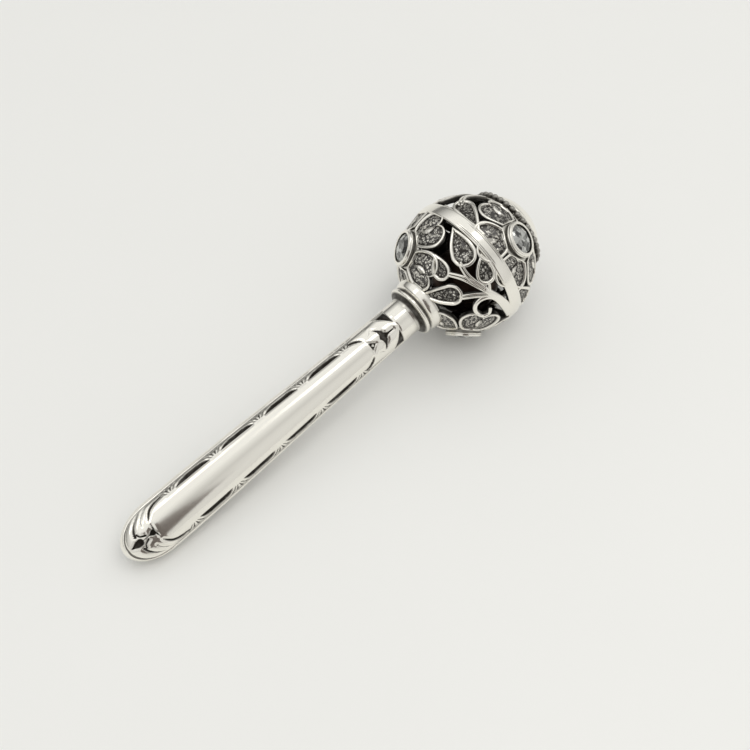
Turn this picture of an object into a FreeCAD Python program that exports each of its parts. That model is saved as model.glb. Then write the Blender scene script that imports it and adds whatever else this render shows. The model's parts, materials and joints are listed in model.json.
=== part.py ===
"""Silver baby rattle: an openwork globe with a loose bell inside, on a hollow cutlery-type handle.

Everything is modelled in the rattle's own frame first: the origin is the globe's centre, +X runs along the
handle's axis to the globe's far pole, and +Z is the way the handle's front panel faces. A place on the globe
is a latitude, from -90 at the collar to +90 at the far pole, and a longitude, 0 in line with the front panel
and positive towards -Y. lay_down() then turns the finished pieces to the pose in which the rattle rests on a
table: globe and butt on the floor, +X from butt to globe, origin under the middle of the bounding box.

The globe is built as jewellery of this kind is: two halves of cast leaf tracery, four cast flowers, a plain
band over the joint, and bezels with round stones. All of it is cut from one spherical wall. The outlines of
leaves, stems and petals are drawn in planes that face the middle of each, carried through the wall as prisms,
and recessed so that every leaf and petal has a raised rim.
"""

import FreeCAD, Part
import math
import os

V = FreeCAD.Vector

# ---- globe wall -----------------------------------------------------------------------------------------
globe_radius = 15.0         # outside of the openwork
wall = 1.1                  # thickness of the openwork
recess = 0.45               # depth of the leaf and petal floors under their rims
rim = 0.65                  # width of the raised rims

# ---- equator band ---------------------------------------------------------------------------------------
band_half_angle = 5.2       # latitude of the band's edges
band_rise = 0.15            # how far the band stands over the openwork

# ---- flowers, bezels and stones -------------------------------------------------------------------------
near_flower_latitude = -40.0
far_flower_latitude = 32.0
near_flower_turn = 54.0     # bearing of the first petal, from the far pole's direction towards +longitude
far_flower_turn = 72.0
petal_count = 5
petal_middle_angle = 29.5   # angle on the globe between flower centre and petal centre
petal_root = (-3.3, 1.7)    # root corner: out along the petal from its centre, and half width there
petal_side = (-1.2, 3.2)
petal_shoulder = (0.9, 4.1)
petal_lobe = (3.55, 2.2)
petal_notch = 2.75
vein_length = 2.6
vein_width = 0.7
boss_radius = 5.0           # plain disc in the middle of a flower
stone_radius = 3.4
stone_table_radius = 1.9
crown_height = 0.8
girdle_height = 0.2
pavilion_depth = 1.05
stone_proud = 0.3           # how far the table stands over the bezel
bezel_wall = 0.5
bezel_height = 0.65         # over the openwork
bezel_lip = 0.35            # how far the bezel's edge is folded in over the stone
bezel_ledge = 0.5           # width of the seat under the stone

# ---- leaf spray: places are (latitude, longitude) on the near half --------------------------------------
leaves = [                  # middle of the round end, point, angular radius of the round end
    ((-18.0, -25.0), (-7.0, -48.0), 9.3),
    ((-13.2, 2.0), (-6.3, -15.0), 7.4),
    ((-40.6, -26.8), (-33.0, -44.0), 8.0),
    ((-47.0, 2.5), (-74.0, -34.0), 8.2),
]
stems = [                   # start, middle, end, width
    ((-38.5, -18.0), (-29.8, -5.0), (-20.5, 15.5), 0.95),
    ((-26.3, -17.5), (-27.0, -3.0), (-21.5, 14.5), 0.95),
    ((-41.5, 9.0), (-30.0, 13.5), (-18.5, 21.5), 1.0),
    ((-21.0, 12.5), (-12.0, 30.5), (-4.0, 56.0), 1.7),
    ((-14.5, 3.5), (-18.0, 9.5), (-20.8, 15.0), 1.9),
]
far_leaves = [              # on the far half
    ((13.0, -57.0), (3.5, -23.0), 6.6),
    ((13.0, 57.0), (3.5, 23.0), 6.6),
    ((17.0, -90.0), (52.0, -90.0), 8.5),
]
far_stems = [
    ((14.0, -61.0), (28.0, -72.0), (52.0, -75.0), 1.0),
    ((14.0, -119.0), (28.0, -108.0), (52.0, -105.0), 1.0),
    ((4.0, -90.0), (8.0, -90.2), (12.0, -90.0), 1.6),
]
scroll_middle = (-29.0, 34.8)
scroll_radius = 1.75        # to the middle of the scroll's strip
scroll_width = 0.85
scroll_start = -150.0       # bearings where the scroll's strip begins and ends
scroll_end = 150.0
scroll_arm = ((-34.3, 28.0), (-26.5, 22.0), (-15.0, 24.0))

# ---- pole rings, cap and granulation --------------------------------------------------------------------
near_ring_angle = 25.0      # angular radius of the near tracery's ring, from the pole
far_ring_angle = 40.0
far_ring_inner_angle = 27.0
cap_angle = 33.0            # angular radius of the domed cap
cap_rise = 1.3              # how far the dome stands over the openwork
cap_wall = 0.8
bead_ring_angle = 36.4
bead_radius = 0.75
bead_count = 34
bead_sunk = 0.3             # how deep a bead's foot is flattened into the ring

# ---- collar, flange and tang ----------------------------------------------------------------------------
collar_radius = 5.4         # at the globe
collar_small_radius = 5.0   # at the flange
collar_length = 1.0         # from the flange to the globe's pole
flange_radius = 5.85
flange_thickness = 0.9
flange_bevel = 0.3
tang_radius = 3.0
tang_reach = 9.0            # how far the tang runs into the handle

# ---- handle: distances are from the globe's centre -------------------------------------------------------
rest_roll = 41.0            # how far the panel leans when the rattle lies down
handle_end = 94.8           # tip of the butt
neck_half_width = 4.15
neck_half_thickness = 4.1
butt_distance = 86.0        # where the handle is widest
butt_half_width = 5.6
butt_half_thickness = 4.6
handle_wall = 0.9
relief_depth = 0.35         # depth of the chased border

first_tuft_distance = 33.7  # the border's leaf tufts are between its slots
tuft_pitch = 11.7
slot_count = 4
tuft_half_length = 1.8
slot_width = 0.75
border_share = 0.83         # where the border's slots run, as a share of the half width

# ---- bell inside the globe ------------------------------------------------------------------------------
bell_radius = 7.5
bell_wall = 0.55
bell_ridge = 0.3            # seam ridge round the bell
bell_ridge_height = 0.8
bell_clearance = 0.2        # between the bell and the globe's wall
bell_slot_width = 1.3
bell_slot_reach = 4.6       # from the bell's pole to the round ends of its slots
bell_hole_radius = 1.3
pellet_radius = 2.2
pellet_clearance = 0.15

# ---- what follows from those ----------------------------------------------------------------------------
inner_radius = globe_radius - wall
floor_radius = globe_radius - recess
bezel_radius = stone_radius + bezel_wall
far_reach = globe_radius * 2.0      # long enough to pass through anything on the globe
flange_distance = globe_radius + collar_length      # globe centre to the flange's globe side


# ---- geometry helpers -----------------------------------------------------------------------------------
def sin(degrees):
    return math.sin(math.radians(degrees))


def cos(degrees):
    return math.cos(math.radians(degrees))


def direction(place):
    """Unit vector from the globe's centre to a (latitude, longitude)."""
    latitude, longitude = place
    return V(sin(latitude), -cos(latitude) * sin(longitude), cos(latitude) * cos(longitude))


def frame_at(outward, towards):
    """Placement with Z along outward and X in the plane of outward and towards, at the globe's centre."""
    z = V(outward).normalize()
    x = (towards - z * towards.dot(z)).normalize()
    y = z.cross(x)
    turned = FreeCAD.Rotation(x, y, z, "ZXY")
    return FreeCAD.Placement(V(0, 0, 0), turned)


def flat(frame, place):
    """A place on the globe as seen along a frame's Z: its X and Y there."""
    seen = frame.inverse().multVec(direction(place) * globe_radius)
    return V(seen.x, seen.y, 0)


def away(centre, bearing, angle):
    """Direction at an angle from a centre place. Bearing 0 is towards the far pole, 90 towards +longitude."""
    latitude, longitude = centre
    outward = direction(centre)
    north = V(cos(latitude), sin(latitude) * sin(longitude), -sin(latitude) * cos(longitude))
    east = V(0, -cos(longitude), -sin(longitude))
    along = north * cos(bearing) + east * sin(bearing)
    return outward * cos(angle) + along * sin(angle)


def closed_face(edges):
    return Part.Face(Part.Wire(edges))


def arc(a, b, c):
    return Part.Arc(V(*a), V(*b), V(*c)).toShape()


def line(a, b):
    return Part.LineSegment(V(*a), V(*b)).toShape()


def prism(face, frame, low=0.0):
    """A flat face carried outward along a frame's Z, from a height over the globe's centre."""
    solid = face.extrude(V(0, 0, far_reach - low))
    solid.translate(V(0, 0, low))
    solid.Placement = frame.multiply(solid.Placement)
    return solid


def spherical_wall(inner, outer):
    """Spherical wall whose poles lie on the rattle's axis."""
    axis = V(1, 0, 0)
    shell = Part.makeSphere(outer, V(0, 0, 0), axis).cut(Part.makeSphere(inner, V(0, 0, 0), axis))
    return shell


def spin(face, axis=V(1, 0, 0)):
    """Solid of a flat face turned once round an axis through the globe's centre."""
    solid = face.revolve(V(0, 0, 0), axis, 360)
    if solid.Volume < 0:
        solid.reverse()
    return solid


def turned(points):
    """Solid turned about the X axis from an outline of (x, radius) points."""
    corners = [V(x, 0, r) for x, r in points]
    return spin(Part.Face(Part.makePolygon(corners + [corners[0]])))


def zone(inner, outer, low, high):
    """Part of a spherical wall between two latitudes, with conical edges that point at the centre."""
    def at(radius, latitude):
        return V(radius * sin(latitude), 0, radius * cos(latitude))

    middle = (low + high) / 2
    edges = [
        Part.Arc(at(outer, low), at(outer, middle), at(outer, high)).toShape(),
        Part.LineSegment(at(outer, high), at(inner, high)).toShape(),
        Part.Arc(at(inner, high), at(inner, middle), at(inner, low)).toShape(),
        Part.LineSegment(at(inner, low), at(outer, low)).toShape(),
    ]
    return spin(closed_face(edges))


def half_turn(shape):
    """A copy turned half way round the rattle's axis."""
    copy = shape.copy()
    copy.rotate(V(0, 0, 0), V(1, 0, 0), 180)
    return copy


# ---- leaf tracery ---------------------------------------------------------------------------------------
def leaf_outline(length, radius, inset=0.0):
    """Leaf seen from outside: a round end about the origin and two bowed sides to a point on +X."""
    r = radius - inset
    tip = length - inset * 2.4
    slope = math.degrees(math.acos(r / tip))
    shoulder = V(r * cos(slope), r * sin(slope), 0)
    point = V(tip, 0, 0)
    middle = (shoulder + point) * 0.5
    bow = V(sin(90 - slope), cos(90 - slope), 0) * (0.07 * (tip - r))
    upper = middle + bow
    mirrored = V(shoulder.x, -shoulder.y, 0)
    return closed_face([
        Part.Arc(shoulder, V(-r, 0, 0), mirrored).toShape(),
        Part.Arc(mirrored, V(upper.x, -upper.y, 0), point).toShape(),
        Part.Arc(point, upper, shoulder).toShape(),
    ])


def leaf(base, tip, radius_angle):
    """(outside prism, prism of the recessed floor) of one leaf."""
    frame = frame_at(direction(base), direction(tip))
    length = flat(frame, tip).x
    radius = globe_radius * sin(radius_angle)
    outside = prism(leaf_outline(length, radius), frame)
    floor = prism(leaf_outline(length, radius, rim), frame)
    return outside, floor


def strip(a, b, c, width):
    """Flat curved strip of one width through three points."""
    circle = Part.Arc(a, b, c).toShape().Curve
    centre, radius = circle.Center, circle.Radius

    def shifted(point, by):
        return centre + (point - centre) * ((radius + by) / radius)

    half = width / 2
    outer = [shifted(p, half) for p in (a, b, c)]
    inner = [shifted(p, -half) for p in (c, b, a)]
    return closed_face([
        Part.Arc(*outer).toShape(),
        Part.LineSegment(outer[2], inner[0]).toShape(),
        Part.Arc(*inner).toShape(),
        Part.LineSegment(inner[2], outer[0]).toShape(),
    ])


def stem(start, middle, end, width):
    frame = frame_at(direction(middle), direction(end))
    return prism(strip(flat(frame, start), flat(frame, middle), flat(frame, end), width), frame)


def scroll():
    """Open ring that the spray's tendril curls into."""
    frame = frame_at(direction(scroll_middle), V(1, 0, 0))
    middle_angle = (scroll_start + scroll_end) / 2
    on_ring = [V(scroll_radius * cos(a), -scroll_radius * sin(a), 0)
               for a in (scroll_start, middle_angle, scroll_end)]
    return prism(strip(*on_ring, scroll_width), frame)


def near_spray():
    """(prisms of the leaves, stems and scroll between two flowers, prisms of the leaves' floors)."""
    pairs = [leaf(*values) for values in leaves]
    outsides = [outside for outside, _ in pairs]
    outsides += [stem(*values) for values in stems]
    outsides += [scroll(), stem(*scroll_arm, scroll_width)]
    return outsides, [floor for _, floor in pairs]


def far_spray():
    pairs = [leaf(*values) for values in far_leaves]
    outsides = [outside for outside, _ in pairs] + [stem(*values) for values in far_stems]
    return outsides, [floor for _, floor in pairs]


# ---- flowers --------------------------------------------------------------------------------------------
def petal_outline(inset=0.0):
    """Heart-shaped petal seen from outside, its root towards -X and its notch on +X."""
    root_x, root_y = petal_root[0] + inset, petal_root[1] - inset * 0.6
    side = (petal_side[0], petal_side[1] - inset)
    shoulder = (petal_shoulder[0], petal_shoulder[1] - inset)
    lobe = (petal_lobe[0] - inset, petal_lobe[1] - inset * 0.25)
    notch = petal_notch - inset

    def half(sign):
        return [
            arc((root_x, sign * root_y, 0), (side[0], sign * side[1], 0), (shoulder[0], sign * shoulder[1], 0)),
            arc((shoulder[0], sign * shoulder[1], 0), (lobe[0], sign * lobe[1], 0), (notch, 0, 0)),
        ]

    edges = half(1) + half(-1)[::-1]
    edges.append(line((root_x, -root_y, 0), (root_x, root_y, 0)))
    return Part.Face(Part.Wire(Part.__sortEdges__(edges)))


def vein_outline():
    """Lens-shaped vein along a petal's middle."""
    half_length, half_width = vein_length / 2, vein_width / 2
    return closed_face([
        arc((-half_length, 0, 0), (0, half_width, 0), (half_length, 0, 0)),
        arc((half_length, 0, 0), (0, -half_width, 0), (-half_length, 0, 0)),
    ])


def flower(centre, turn):
    """(prism of the whole flower, prisms of the petal floors)."""
    axis_frame = frame_at(direction(centre), V(1, 0, 0))
    disc = Part.Face(Part.Wire(Part.makeCircle(boss_radius)))
    outsides = [prism(disc, axis_frame)]
    floors = []
    for k in range(petal_count):
        bearing = turn + 360.0 * k / petal_count
        outward = away(centre, bearing, petal_middle_angle)
        beyond = away(centre, bearing, petal_middle_angle + 30)
        frame = frame_at(outward, beyond)
        outsides.append(prism(petal_outline(), frame))
        floors.append(prism(petal_outline(rim).cut(vein_outline()), frame))
    return outsides[0].fuse(outsides[1:]), floors


def stone():
    """Round brilliant about Z, its girdle on z = 0: a table, 24 crown facets, a girdle and 16 below."""
    def ring(radius, height, count, start=0.0):
        return [V(radius * cos(start + 360.0 * k / count), radius * sin(start + 360.0 * k / count), height)
                for k in range(count)]

    table = ring(stone_table_radius, crown_height, 8)
    girdle_top = ring(stone_radius, girdle_height / 2, 16)
    girdle_low = ring(stone_radius, -girdle_height / 2, 16)
    culet = V(0, 0, -pavilion_depth)
    facets = [table]
    for k in range(8):
        left, middle, right, far = (girdle_top[(2 * k + step) % 16] for step in (-1, 0, 1, 2))
        facets += [[table[k], left, middle], [table[k], middle, right]]
        facets += [[table[k], right, table[(k + 1) % 8]]]
    for k in range(16):
        after = (k + 1) % 16
        facets += [[girdle_top[k], girdle_low[k], girdle_low[after], girdle_top[after]]]
        facets += [[girdle_low[k], culet, girdle_low[after]]]
    faces = [Part.Face(Part.makePolygon(corners + corners[:1])) for corners in facets]
    solid = Part.Solid(Part.makeShell(faces))
    solid.fix(1e-6, 1e-6, 1e-6)
    return solid


def bezel(centre):
    """Collet through a flower's boss, with a ledge under the stone and a lip folded over its crown."""
    top = globe_radius + bezel_height
    girdle = top + stone_proud - crown_height
    inner = stone_radius
    seat = stone_radius - bezel_ledge
    outline = [
        (inner_radius, bezel_radius), (top - 0.2, bezel_radius), (top, bezel_radius - 0.2),
        (top, inner - bezel_lip), (girdle + girdle_height / 2, inner), (girdle - girdle_height / 2, inner),
        (girdle - girdle_height / 2 - bezel_ledge * 0.53, seat), (inner_radius, seat),
    ]
    corners = [V(r, 0, h) for h, r in outline]
    ring = spin(Part.Face(Part.makePolygon(corners + [corners[0]])), V(0, 0, 1))
    frame = frame_at(direction(centre), V(1, 0, 0))
    ring.Placement = frame
    gem = stone()
    gem.translate(V(0, 0, girdle))
    gem.Placement = frame.multiply(gem.Placement)
    return ring, gem


# ---- globe ----------------------------------------------------------------------------------------------
def globe_pieces():
    """Band, flowers, tracery, bezels and stones."""
    pieces = {"equator_band": zone(inner_radius, globe_radius + band_rise, -band_half_angle, band_half_angle)}
    outer_layer = spherical_wall(floor_radius, globe_radius + 1)
    halves = {
        "near": ((near_flower_latitude, -90.0), near_flower_turn, near_spray(),
                 (-90 + near_ring_angle, -band_half_angle),
                 (-90 + math.degrees(math.asin(tang_radius / inner_radius)) + 0.3, -90 + near_ring_angle)),
        "far": ((far_flower_latitude, 0.0), far_flower_turn, far_spray(),
                (band_half_angle, 90 - far_ring_angle),
                (90 - far_ring_angle, 90 - far_ring_inner_angle)),
    }
    names = {"near": ("left", "right"), "far": ("front", "back")}
    for side, (centre, turn, (outsides, floors), open_zone, ring_zone) in halves.items():
        body, petal_floors = flower(centre, turn)
        open_wall = zone(inner_radius, globe_radius, *open_zone)
        hole = Part.makeCylinder(bezel_radius, far_reach, V(0, 0, 0), direction(centre))
        blossom = open_wall.common(body).cut([hole])
        blossom = blossom.cut([outer_layer.common(floor) for floor in petal_floors])
        collet, gem = bezel(centre)
        for name, place in zip(names[side], (lambda shape: shape, half_turn)):
            pieces[f"{side}_flower_{name}"] = place(blossom)
            pieces[f"{side}_bezel_{name}"] = place(collet)
            pieces[f"{side}_stone_{name}"] = place(gem)

        prisms = outsides[0].fuse(outsides[1:]).cut([body, half_turn(body)])
        tracery = open_wall.common(prisms).cut([hole, half_turn(hole)])
        tracery = tracery.cut([outer_layer.common(floor) for floor in floors])
        ring = zone(inner_radius, globe_radius, *ring_zone).cut([hole, half_turn(hole)])
        pieces[f"{side}_tracery"] = tracery.fuse([half_turn(tracery), ring])
    return pieces


def cap_and_beads():
    """Domed cap over the far pole, and the row of beads round it."""
    edge = V(globe_radius * cos(cap_angle), 0, globe_radius * sin(cap_angle))
    top = globe_radius + cap_rise
    shoulder = V(edge.x + cap_rise * 0.5, 0, edge.z)
    middle = (top ** 2 - shoulder.x ** 2 - shoulder.z ** 2) / (2 * (top - shoulder.x))
    dome_radius = top - middle
    spread = math.degrees(math.asin(shoulder.z / dome_radius))

    def on_dome(radius, angle):
        return V(middle + radius * cos(angle), 0, radius * sin(angle))

    inside = dome_radius - cap_wall
    outline = closed_face([
        Part.Arc(on_dome(dome_radius, 0), on_dome(dome_radius, spread / 2), shoulder).toShape(),
        Part.LineSegment(shoulder, V(edge.x - cap_rise, 0, edge.z)).toShape(),
        Part.LineSegment(V(edge.x - cap_rise, 0, edge.z), on_dome(inside, spread)).toShape(),
        Part.Arc(on_dome(inside, spread), on_dome(inside, spread / 2), on_dome(inside, 0)).toShape(),
        Part.LineSegment(on_dome(inside, 0), on_dome(dome_radius, 0)).toShape(),
    ])
    cap = spin(outline).cut([Part.makeSphere(globe_radius)])
    ball = Part.makeSphere(bead_radius, V(0, 0, globe_radius + bead_radius - bead_sunk))
    ball = ball.cut([Part.makeSphere(globe_radius)])
    beads = []
    for k in range(bead_count):
        bead = ball.copy()
        bead.rotate(V(0, 0, 0), V(0, 1, 0), 90 - bead_ring_angle)
        bead.rotate(V(0, 0, 0), V(1, 0, 0), 360.0 * k / bead_count)
        beads.append(bead)
    return {"pole_cap": cap, "pole_beads": Part.makeCompound(beads)}


# ---- collar and handle ----------------------------------------------------------------------------------
def neck_pieces():
    """Collar between globe and flange, the flange, and the tang that runs through both into the handle."""
    far_end = -flange_distance
    near_end = far_end - flange_thickness
    collar = turned([
        (far_end, tang_radius), (far_end, collar_small_radius), (far_end + 0.35, collar_small_radius + 0.15),
        (far_end + 1.2, collar_small_radius - 0.1), (-inner_radius * 0.86, collar_radius),
        (-inner_radius * 0.86, tang_radius),
    ])
    collar = collar.cut([Part.makeSphere(globe_radius)])
    flange = turned([
        (near_end, tang_radius), (near_end, flange_radius - flange_bevel * 2),
        (near_end + flange_bevel, flange_radius), (far_end - flange_bevel, flange_radius),
        (far_end, flange_radius - flange_bevel), (far_end, tang_radius),
    ])
    tang_end = near_end - tang_reach
    tang = turned([
        (tang_end, 0), (tang_end, tang_radius - 0.5), (tang_end + 0.5, tang_radius),
        (-inner_radius - 0.2, tang_radius), (-inner_radius - 0.2, 0),
    ])
    return {"neck_collar": collar, "neck_flange": flange, "handle_tang": tang}


def handle_size(distance):
    """(half width, half thickness) at a distance from the globe's centre.

    They swell smoothly from the neck to the butt, as half a cosine wave, and close there as an ellipse.
    """
    neck = flange_distance + flange_thickness
    if distance <= butt_distance:
        share = (1 - cos(180 * (distance - neck) / (butt_distance - neck))) / 2
        return (neck_half_width + (butt_half_width - neck_half_width) * share,
                neck_half_thickness + (butt_half_thickness - neck_half_thickness) * share)
    along = min((distance - butt_distance) / (handle_end - butt_distance), 1.0)
    share = math.sqrt(1 - along * along)
    return butt_half_width * share, butt_half_thickness * share


def oval(distance, half_width, half_thickness):
    """Oval wire across the handle."""
    points = [V(-distance, half_width * cos(15 * k), half_thickness * sin(15 * k)) for k in range(24)]
    curve = Part.BSplineCurve()
    curve.interpolate(points, PeriodicFlag=True)
    return Part.Wire([curve.toShape()])


def handle_body(inset):
    """Solid of the handle's outside, made smaller all round by an inset."""
    neck = flange_distance + flange_thickness

    def section(distance):
        half_width, half_thickness = handle_size(distance)
        return oval(distance, half_width - inset, half_thickness - inset)

    count = 9
    grip = [section(neck + (butt_distance - neck) * k / (count - 1)) for k in range(count)]
    end_length = handle_end - inset - butt_distance
    half_width, half_thickness = butt_half_width - inset, butt_half_thickness - inset
    end = [oval(butt_distance + end_length * sin(14 * k), half_width * cos(14 * k), half_thickness * cos(14 * k))
           for k in range(7)]
    bodies = [Part.makeLoft(wires, True, False, False, 3) for wires in (grip, end)]
    return bodies[0].fuse([bodies[1]]).removeSplitter()


def lens(a, b, width):
    """Flat lens between two (x, y) points."""
    a, b = V(a[0], a[1], 0), V(b[0], b[1], 0)
    along = b - a
    across = V(-along.y, along.x, 0).normalize() * (width / 2)
    middle = (a + b) * 0.5
    return closed_face([
        Part.Arc(a, middle + across, b).toShape(),
        Part.Arc(b, middle - across, a).toShape(),
    ])


def border_outlines():
    """Outlines of the chased border on the front panel: slots, leaf tufts and the ornaments at both ends."""
    outlines = []

    def edge(distance, share=border_share):
        return (-distance, share * handle_size(distance)[0])

    for k in range(slot_count):
        start = first_tuft_distance + tuft_pitch * k + tuft_half_length
        end = first_tuft_distance + tuft_pitch * (k + 1) - tuft_half_length
        outlines.append(lens(edge(start), edge(end), slot_width))
    for k in range(slot_count + 1):
        root = first_tuft_distance + tuft_pitch * k
        for lean in (-1, 0, 1):
            foot = edge(root + lean * 0.35, border_share)
            tip = edge(root + lean * (tuft_half_length + 0.4), border_share - (0.22 if lean else 0.36))
            outlines.append(lens(foot, tip, 0.45))
    last_tuft = first_tuft_distance + tuft_pitch * slot_count
    neck_turn = first_tuft_distance - tuft_half_length
    outlines.append(lens(edge(neck_turn), edge(neck_turn - 3.6, 0.42), slot_width))
    butt_turn = last_tuft + tuft_half_length
    outlines.append(lens(edge(butt_turn), edge(butt_turn + 4.6, 0.38), slot_width))
    # petals of the butt's shell and of the neck's bud, as crescents round the ends
    for step in range(3):
        start = butt_turn + 4.4 + 1.5 * step
        outlines.append(lens(edge(start, 0.86), edge(start + 2.0, 0.30 - 0.08 * step), 0.5))
    for step in range(2):
        start = neck_turn - 3.6 - 2.6 * step
        outlines.append(lens(edge(start, 0.78), edge(start - 2.2, 0.20), 0.5))
    mirrored = []
    for outline in outlines:
        copy = outline.copy()
        copy.rotate(V(0, 0, 0), V(1, 0, 0), 180)
        mirrored.append(copy)
    middle = [
        lens((-butt_turn - 2.0, 0), (-butt_turn - 5.4, 0), 1.6),
        lens((-neck_turn + 4.6, 0), (-neck_turn + 8.0, 0), 1.5),
    ]
    return outlines + mirrored + middle


def handle_pieces():
    """Front and back shell, soldered along the sides."""
    outside = handle_body(0.0)
    hollow = handle_body(handle_wall)
    under_relief = handle_body(relief_depth)
    reach = handle_end + 10
    front_half = Part.makeBox(reach, reach, reach, V(-reach, -reach / 2, 0))
    front = outside.common(front_half).cut([hollow])
    cutters = []
    for outline in border_outlines():
        prism_low = outline.copy()
        prism_low.translate(V(0, 0, 0.4))
        cutters.append(prism_low.extrude(V(0, 0, reach / 4)))
    cutters = cutters[0].fuse(cutters[1:]).cut([under_relief])
    front = front.cut([cutters])
    return {"handle_front_shell": front, "handle_back_shell": half_turn(front)}


# ---- bell -----------------------------------------------------------------------------------------------
def bell_pieces():
    """Round jingle bell about the origin: two halves with a seam ridge, slotted below, and its pellet."""
    inner = bell_radius - bell_wall
    ridge = bell_radius + bell_ridge
    half = Part.makeSphere(bell_radius, V(0, 0, 0), V(0, 0, 1)).fuse(
        [Part.makeCylinder(ridge, bell_ridge_height, V(0, 0, -bell_ridge_height / 2))])
    half = half.cut([Part.makeSphere(inner)])
    size = 3 * bell_radius
    upper_space = Part.makeBox(size, size, size, V(-size / 2, -size / 2, 0))
    upper = half.common(upper_space)
    lower = half.cut([upper_space])
    slots = []
    for bearing in (0, 90):
        slot = Part.makeBox(2 * bell_slot_reach, bell_slot_width, size, V(-bell_slot_reach, -bell_slot_width / 2, -size))
        slot.rotate(V(0, 0, 0), V(0, 0, 1), bearing)
        slots.append(slot)
        for sign in (1, -1):
            spot = V(sign * bell_slot_reach, 0, -size) if bearing == 0 else V(0, sign * bell_slot_reach, -size)
            slots.append(Part.makeCylinder(bell_hole_radius, size, spot))
    lower = lower.cut(slots)
    return upper, lower


def lay_down():
    """Placement that lays the rattle at rest, with the globe's centre over the origin."""
    roll = rest_roll

    def butt_low(pitch):
        low = 0.0
        for step in range(101):
            distance = butt_distance + (handle_end - butt_distance) * (step / 50 - 1)
            half_width, half_thickness = handle_size(distance)
            support = math.hypot(half_width * sin(roll), half_thickness * cos(roll))
            low = min(low, -distance * sin(pitch) - support * cos(pitch))
        return low

    def ball_low(pitch):
        return -(globe_radius + band_rise) * cos(max(pitch - band_half_angle, 0.0))

    low, high = 0.0, 20.0
    for _ in range(50):
        pitch = (low + high) / 2
        if butt_low(pitch) > ball_low(pitch):
            low = pitch
        else:
            high = pitch
    turn = FreeCAD.Rotation(V(0, 1, 0), -pitch).multiply(FreeCAD.Rotation(V(1, 0, 0), roll))
    return FreeCAD.Placement(V(0, 0, -ball_low(pitch)), turn)


# ---- whole rattle ---------------------------------------------------------------------------------------
def rattle():
    fixed = {**globe_pieces(), **cap_and_beads(), **neck_pieces(), **handle_pieces()}
    rest = lay_down()
    pieces = {}
    for name, shape in fixed.items():
        shape.Placement = rest.multiply(shape.Placement)
        pieces[name] = shape
    globe_centre = rest.Base
    bell_centre = globe_centre - V(0, 0, inner_radius - bell_radius - bell_ridge - bell_clearance)
    bell_turn = FreeCAD.Rotation(V(1, 1, 0), 60.0)
    for name, shape in zip(("bell_upper_shell", "bell_lower_shell"), bell_pieces()):
        shape.Placement = FreeCAD.Placement(bell_centre, bell_turn).multiply(shape.Placement)
        pieces[name] = shape
    pellet_drop = bell_radius - bell_wall - pellet_radius - pellet_clearance
    pieces["bell_pellet"] = Part.makeSphere(pellet_radius, bell_centre - V(0, 0, pellet_drop))
    return pieces, globe_centre


def main():
    os.makedirs("parts", exist_ok=True)
    pieces, globe_centre = rattle()
    boxes = [shape.optimalBoundingBox(True, False) for shape in pieces.values()]
    low_x, high_x = min(box.XMin for box in boxes), max(box.XMax for box in boxes)
    low_y, high_y = min(box.YMin for box in boxes), max(box.YMax for box in boxes)
    shift = V(-(low_x + high_x) / 2, -(low_y + high_y) / 2, 0)
    print("globe centre", globe_centre + shift, "floor", min(box.ZMin for box in boxes))
    for name, shape in pieces.items():
        shape.translate(shift)
        shape.exportStep(f"parts/{name}.step")


if __name__ == "__main__":
    main()
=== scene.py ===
"""Silver baby rattle: openwork globe with set stones and a loose bell, on a chased hollow handle.

Every new piece is worked out in the rattle's own frame, in millimetres: the origin is the globe's centre,
+X runs along the handle's axis to the globe's far pole, and +Z is the way the handle's front panel faces. A
place on the globe is a latitude, -90 at the collar and +90 at the far pole, and a longitude, 0 in line with
the front panel and positive towards -Y. settle() turns finished points to the pose in which the rattle rests,
in metres.
"""

import json

import bmesh
import bpy
import numpy as np
from bpy.props import FloatProperty, FloatVectorProperty, IntProperty, PointerProperty
from mathutils import Matrix, Vector


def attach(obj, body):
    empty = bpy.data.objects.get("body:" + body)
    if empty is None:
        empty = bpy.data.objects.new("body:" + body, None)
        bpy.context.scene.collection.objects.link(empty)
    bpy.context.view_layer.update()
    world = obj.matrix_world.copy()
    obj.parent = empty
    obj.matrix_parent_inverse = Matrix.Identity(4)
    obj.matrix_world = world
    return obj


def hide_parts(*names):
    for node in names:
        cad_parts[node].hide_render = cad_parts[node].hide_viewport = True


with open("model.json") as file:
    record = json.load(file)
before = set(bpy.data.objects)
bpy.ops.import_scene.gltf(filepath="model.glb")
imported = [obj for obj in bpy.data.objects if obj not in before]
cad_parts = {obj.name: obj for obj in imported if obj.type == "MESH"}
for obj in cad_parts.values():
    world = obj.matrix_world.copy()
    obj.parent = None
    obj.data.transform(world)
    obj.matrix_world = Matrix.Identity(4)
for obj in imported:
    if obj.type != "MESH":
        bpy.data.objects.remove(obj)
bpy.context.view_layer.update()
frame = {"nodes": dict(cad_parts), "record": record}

bl_info = {
    "name": "Silver baby rattle",
    "version": (1, 0, 0),
    "blender": (4, 5, 0),
    "location": "3D View > Sidebar > Rattle",
    "description": "Builds the looks of an openwork silver rattle round its packed solids",
    "category": "Object",
}

ROLL_JOINT = next(j for j in frame["record"]["behaviour"]["joints"] if j["name"] == "bell_roll")


# ---- sizes and colours ------------------------------------------------------------------------------------
def length(label, text, default, low=0.0):
    return FloatProperty(name=label, description=text + ", in mm", default=default, min=low, precision=3)


def angle(label, text, default):
    return FloatProperty(name=label, description=text + ", in degrees", default=default)


def colour(label, text, default):
    return FloatVectorProperty(name=label, description=text, default=default, size=3, subtype="COLOR",
                               min=0.0, max=1.0)


def share(label, text, default):
    return FloatProperty(name=label, description=text, default=default, min=0.0, max=1.0, subtype="FACTOR")


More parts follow.
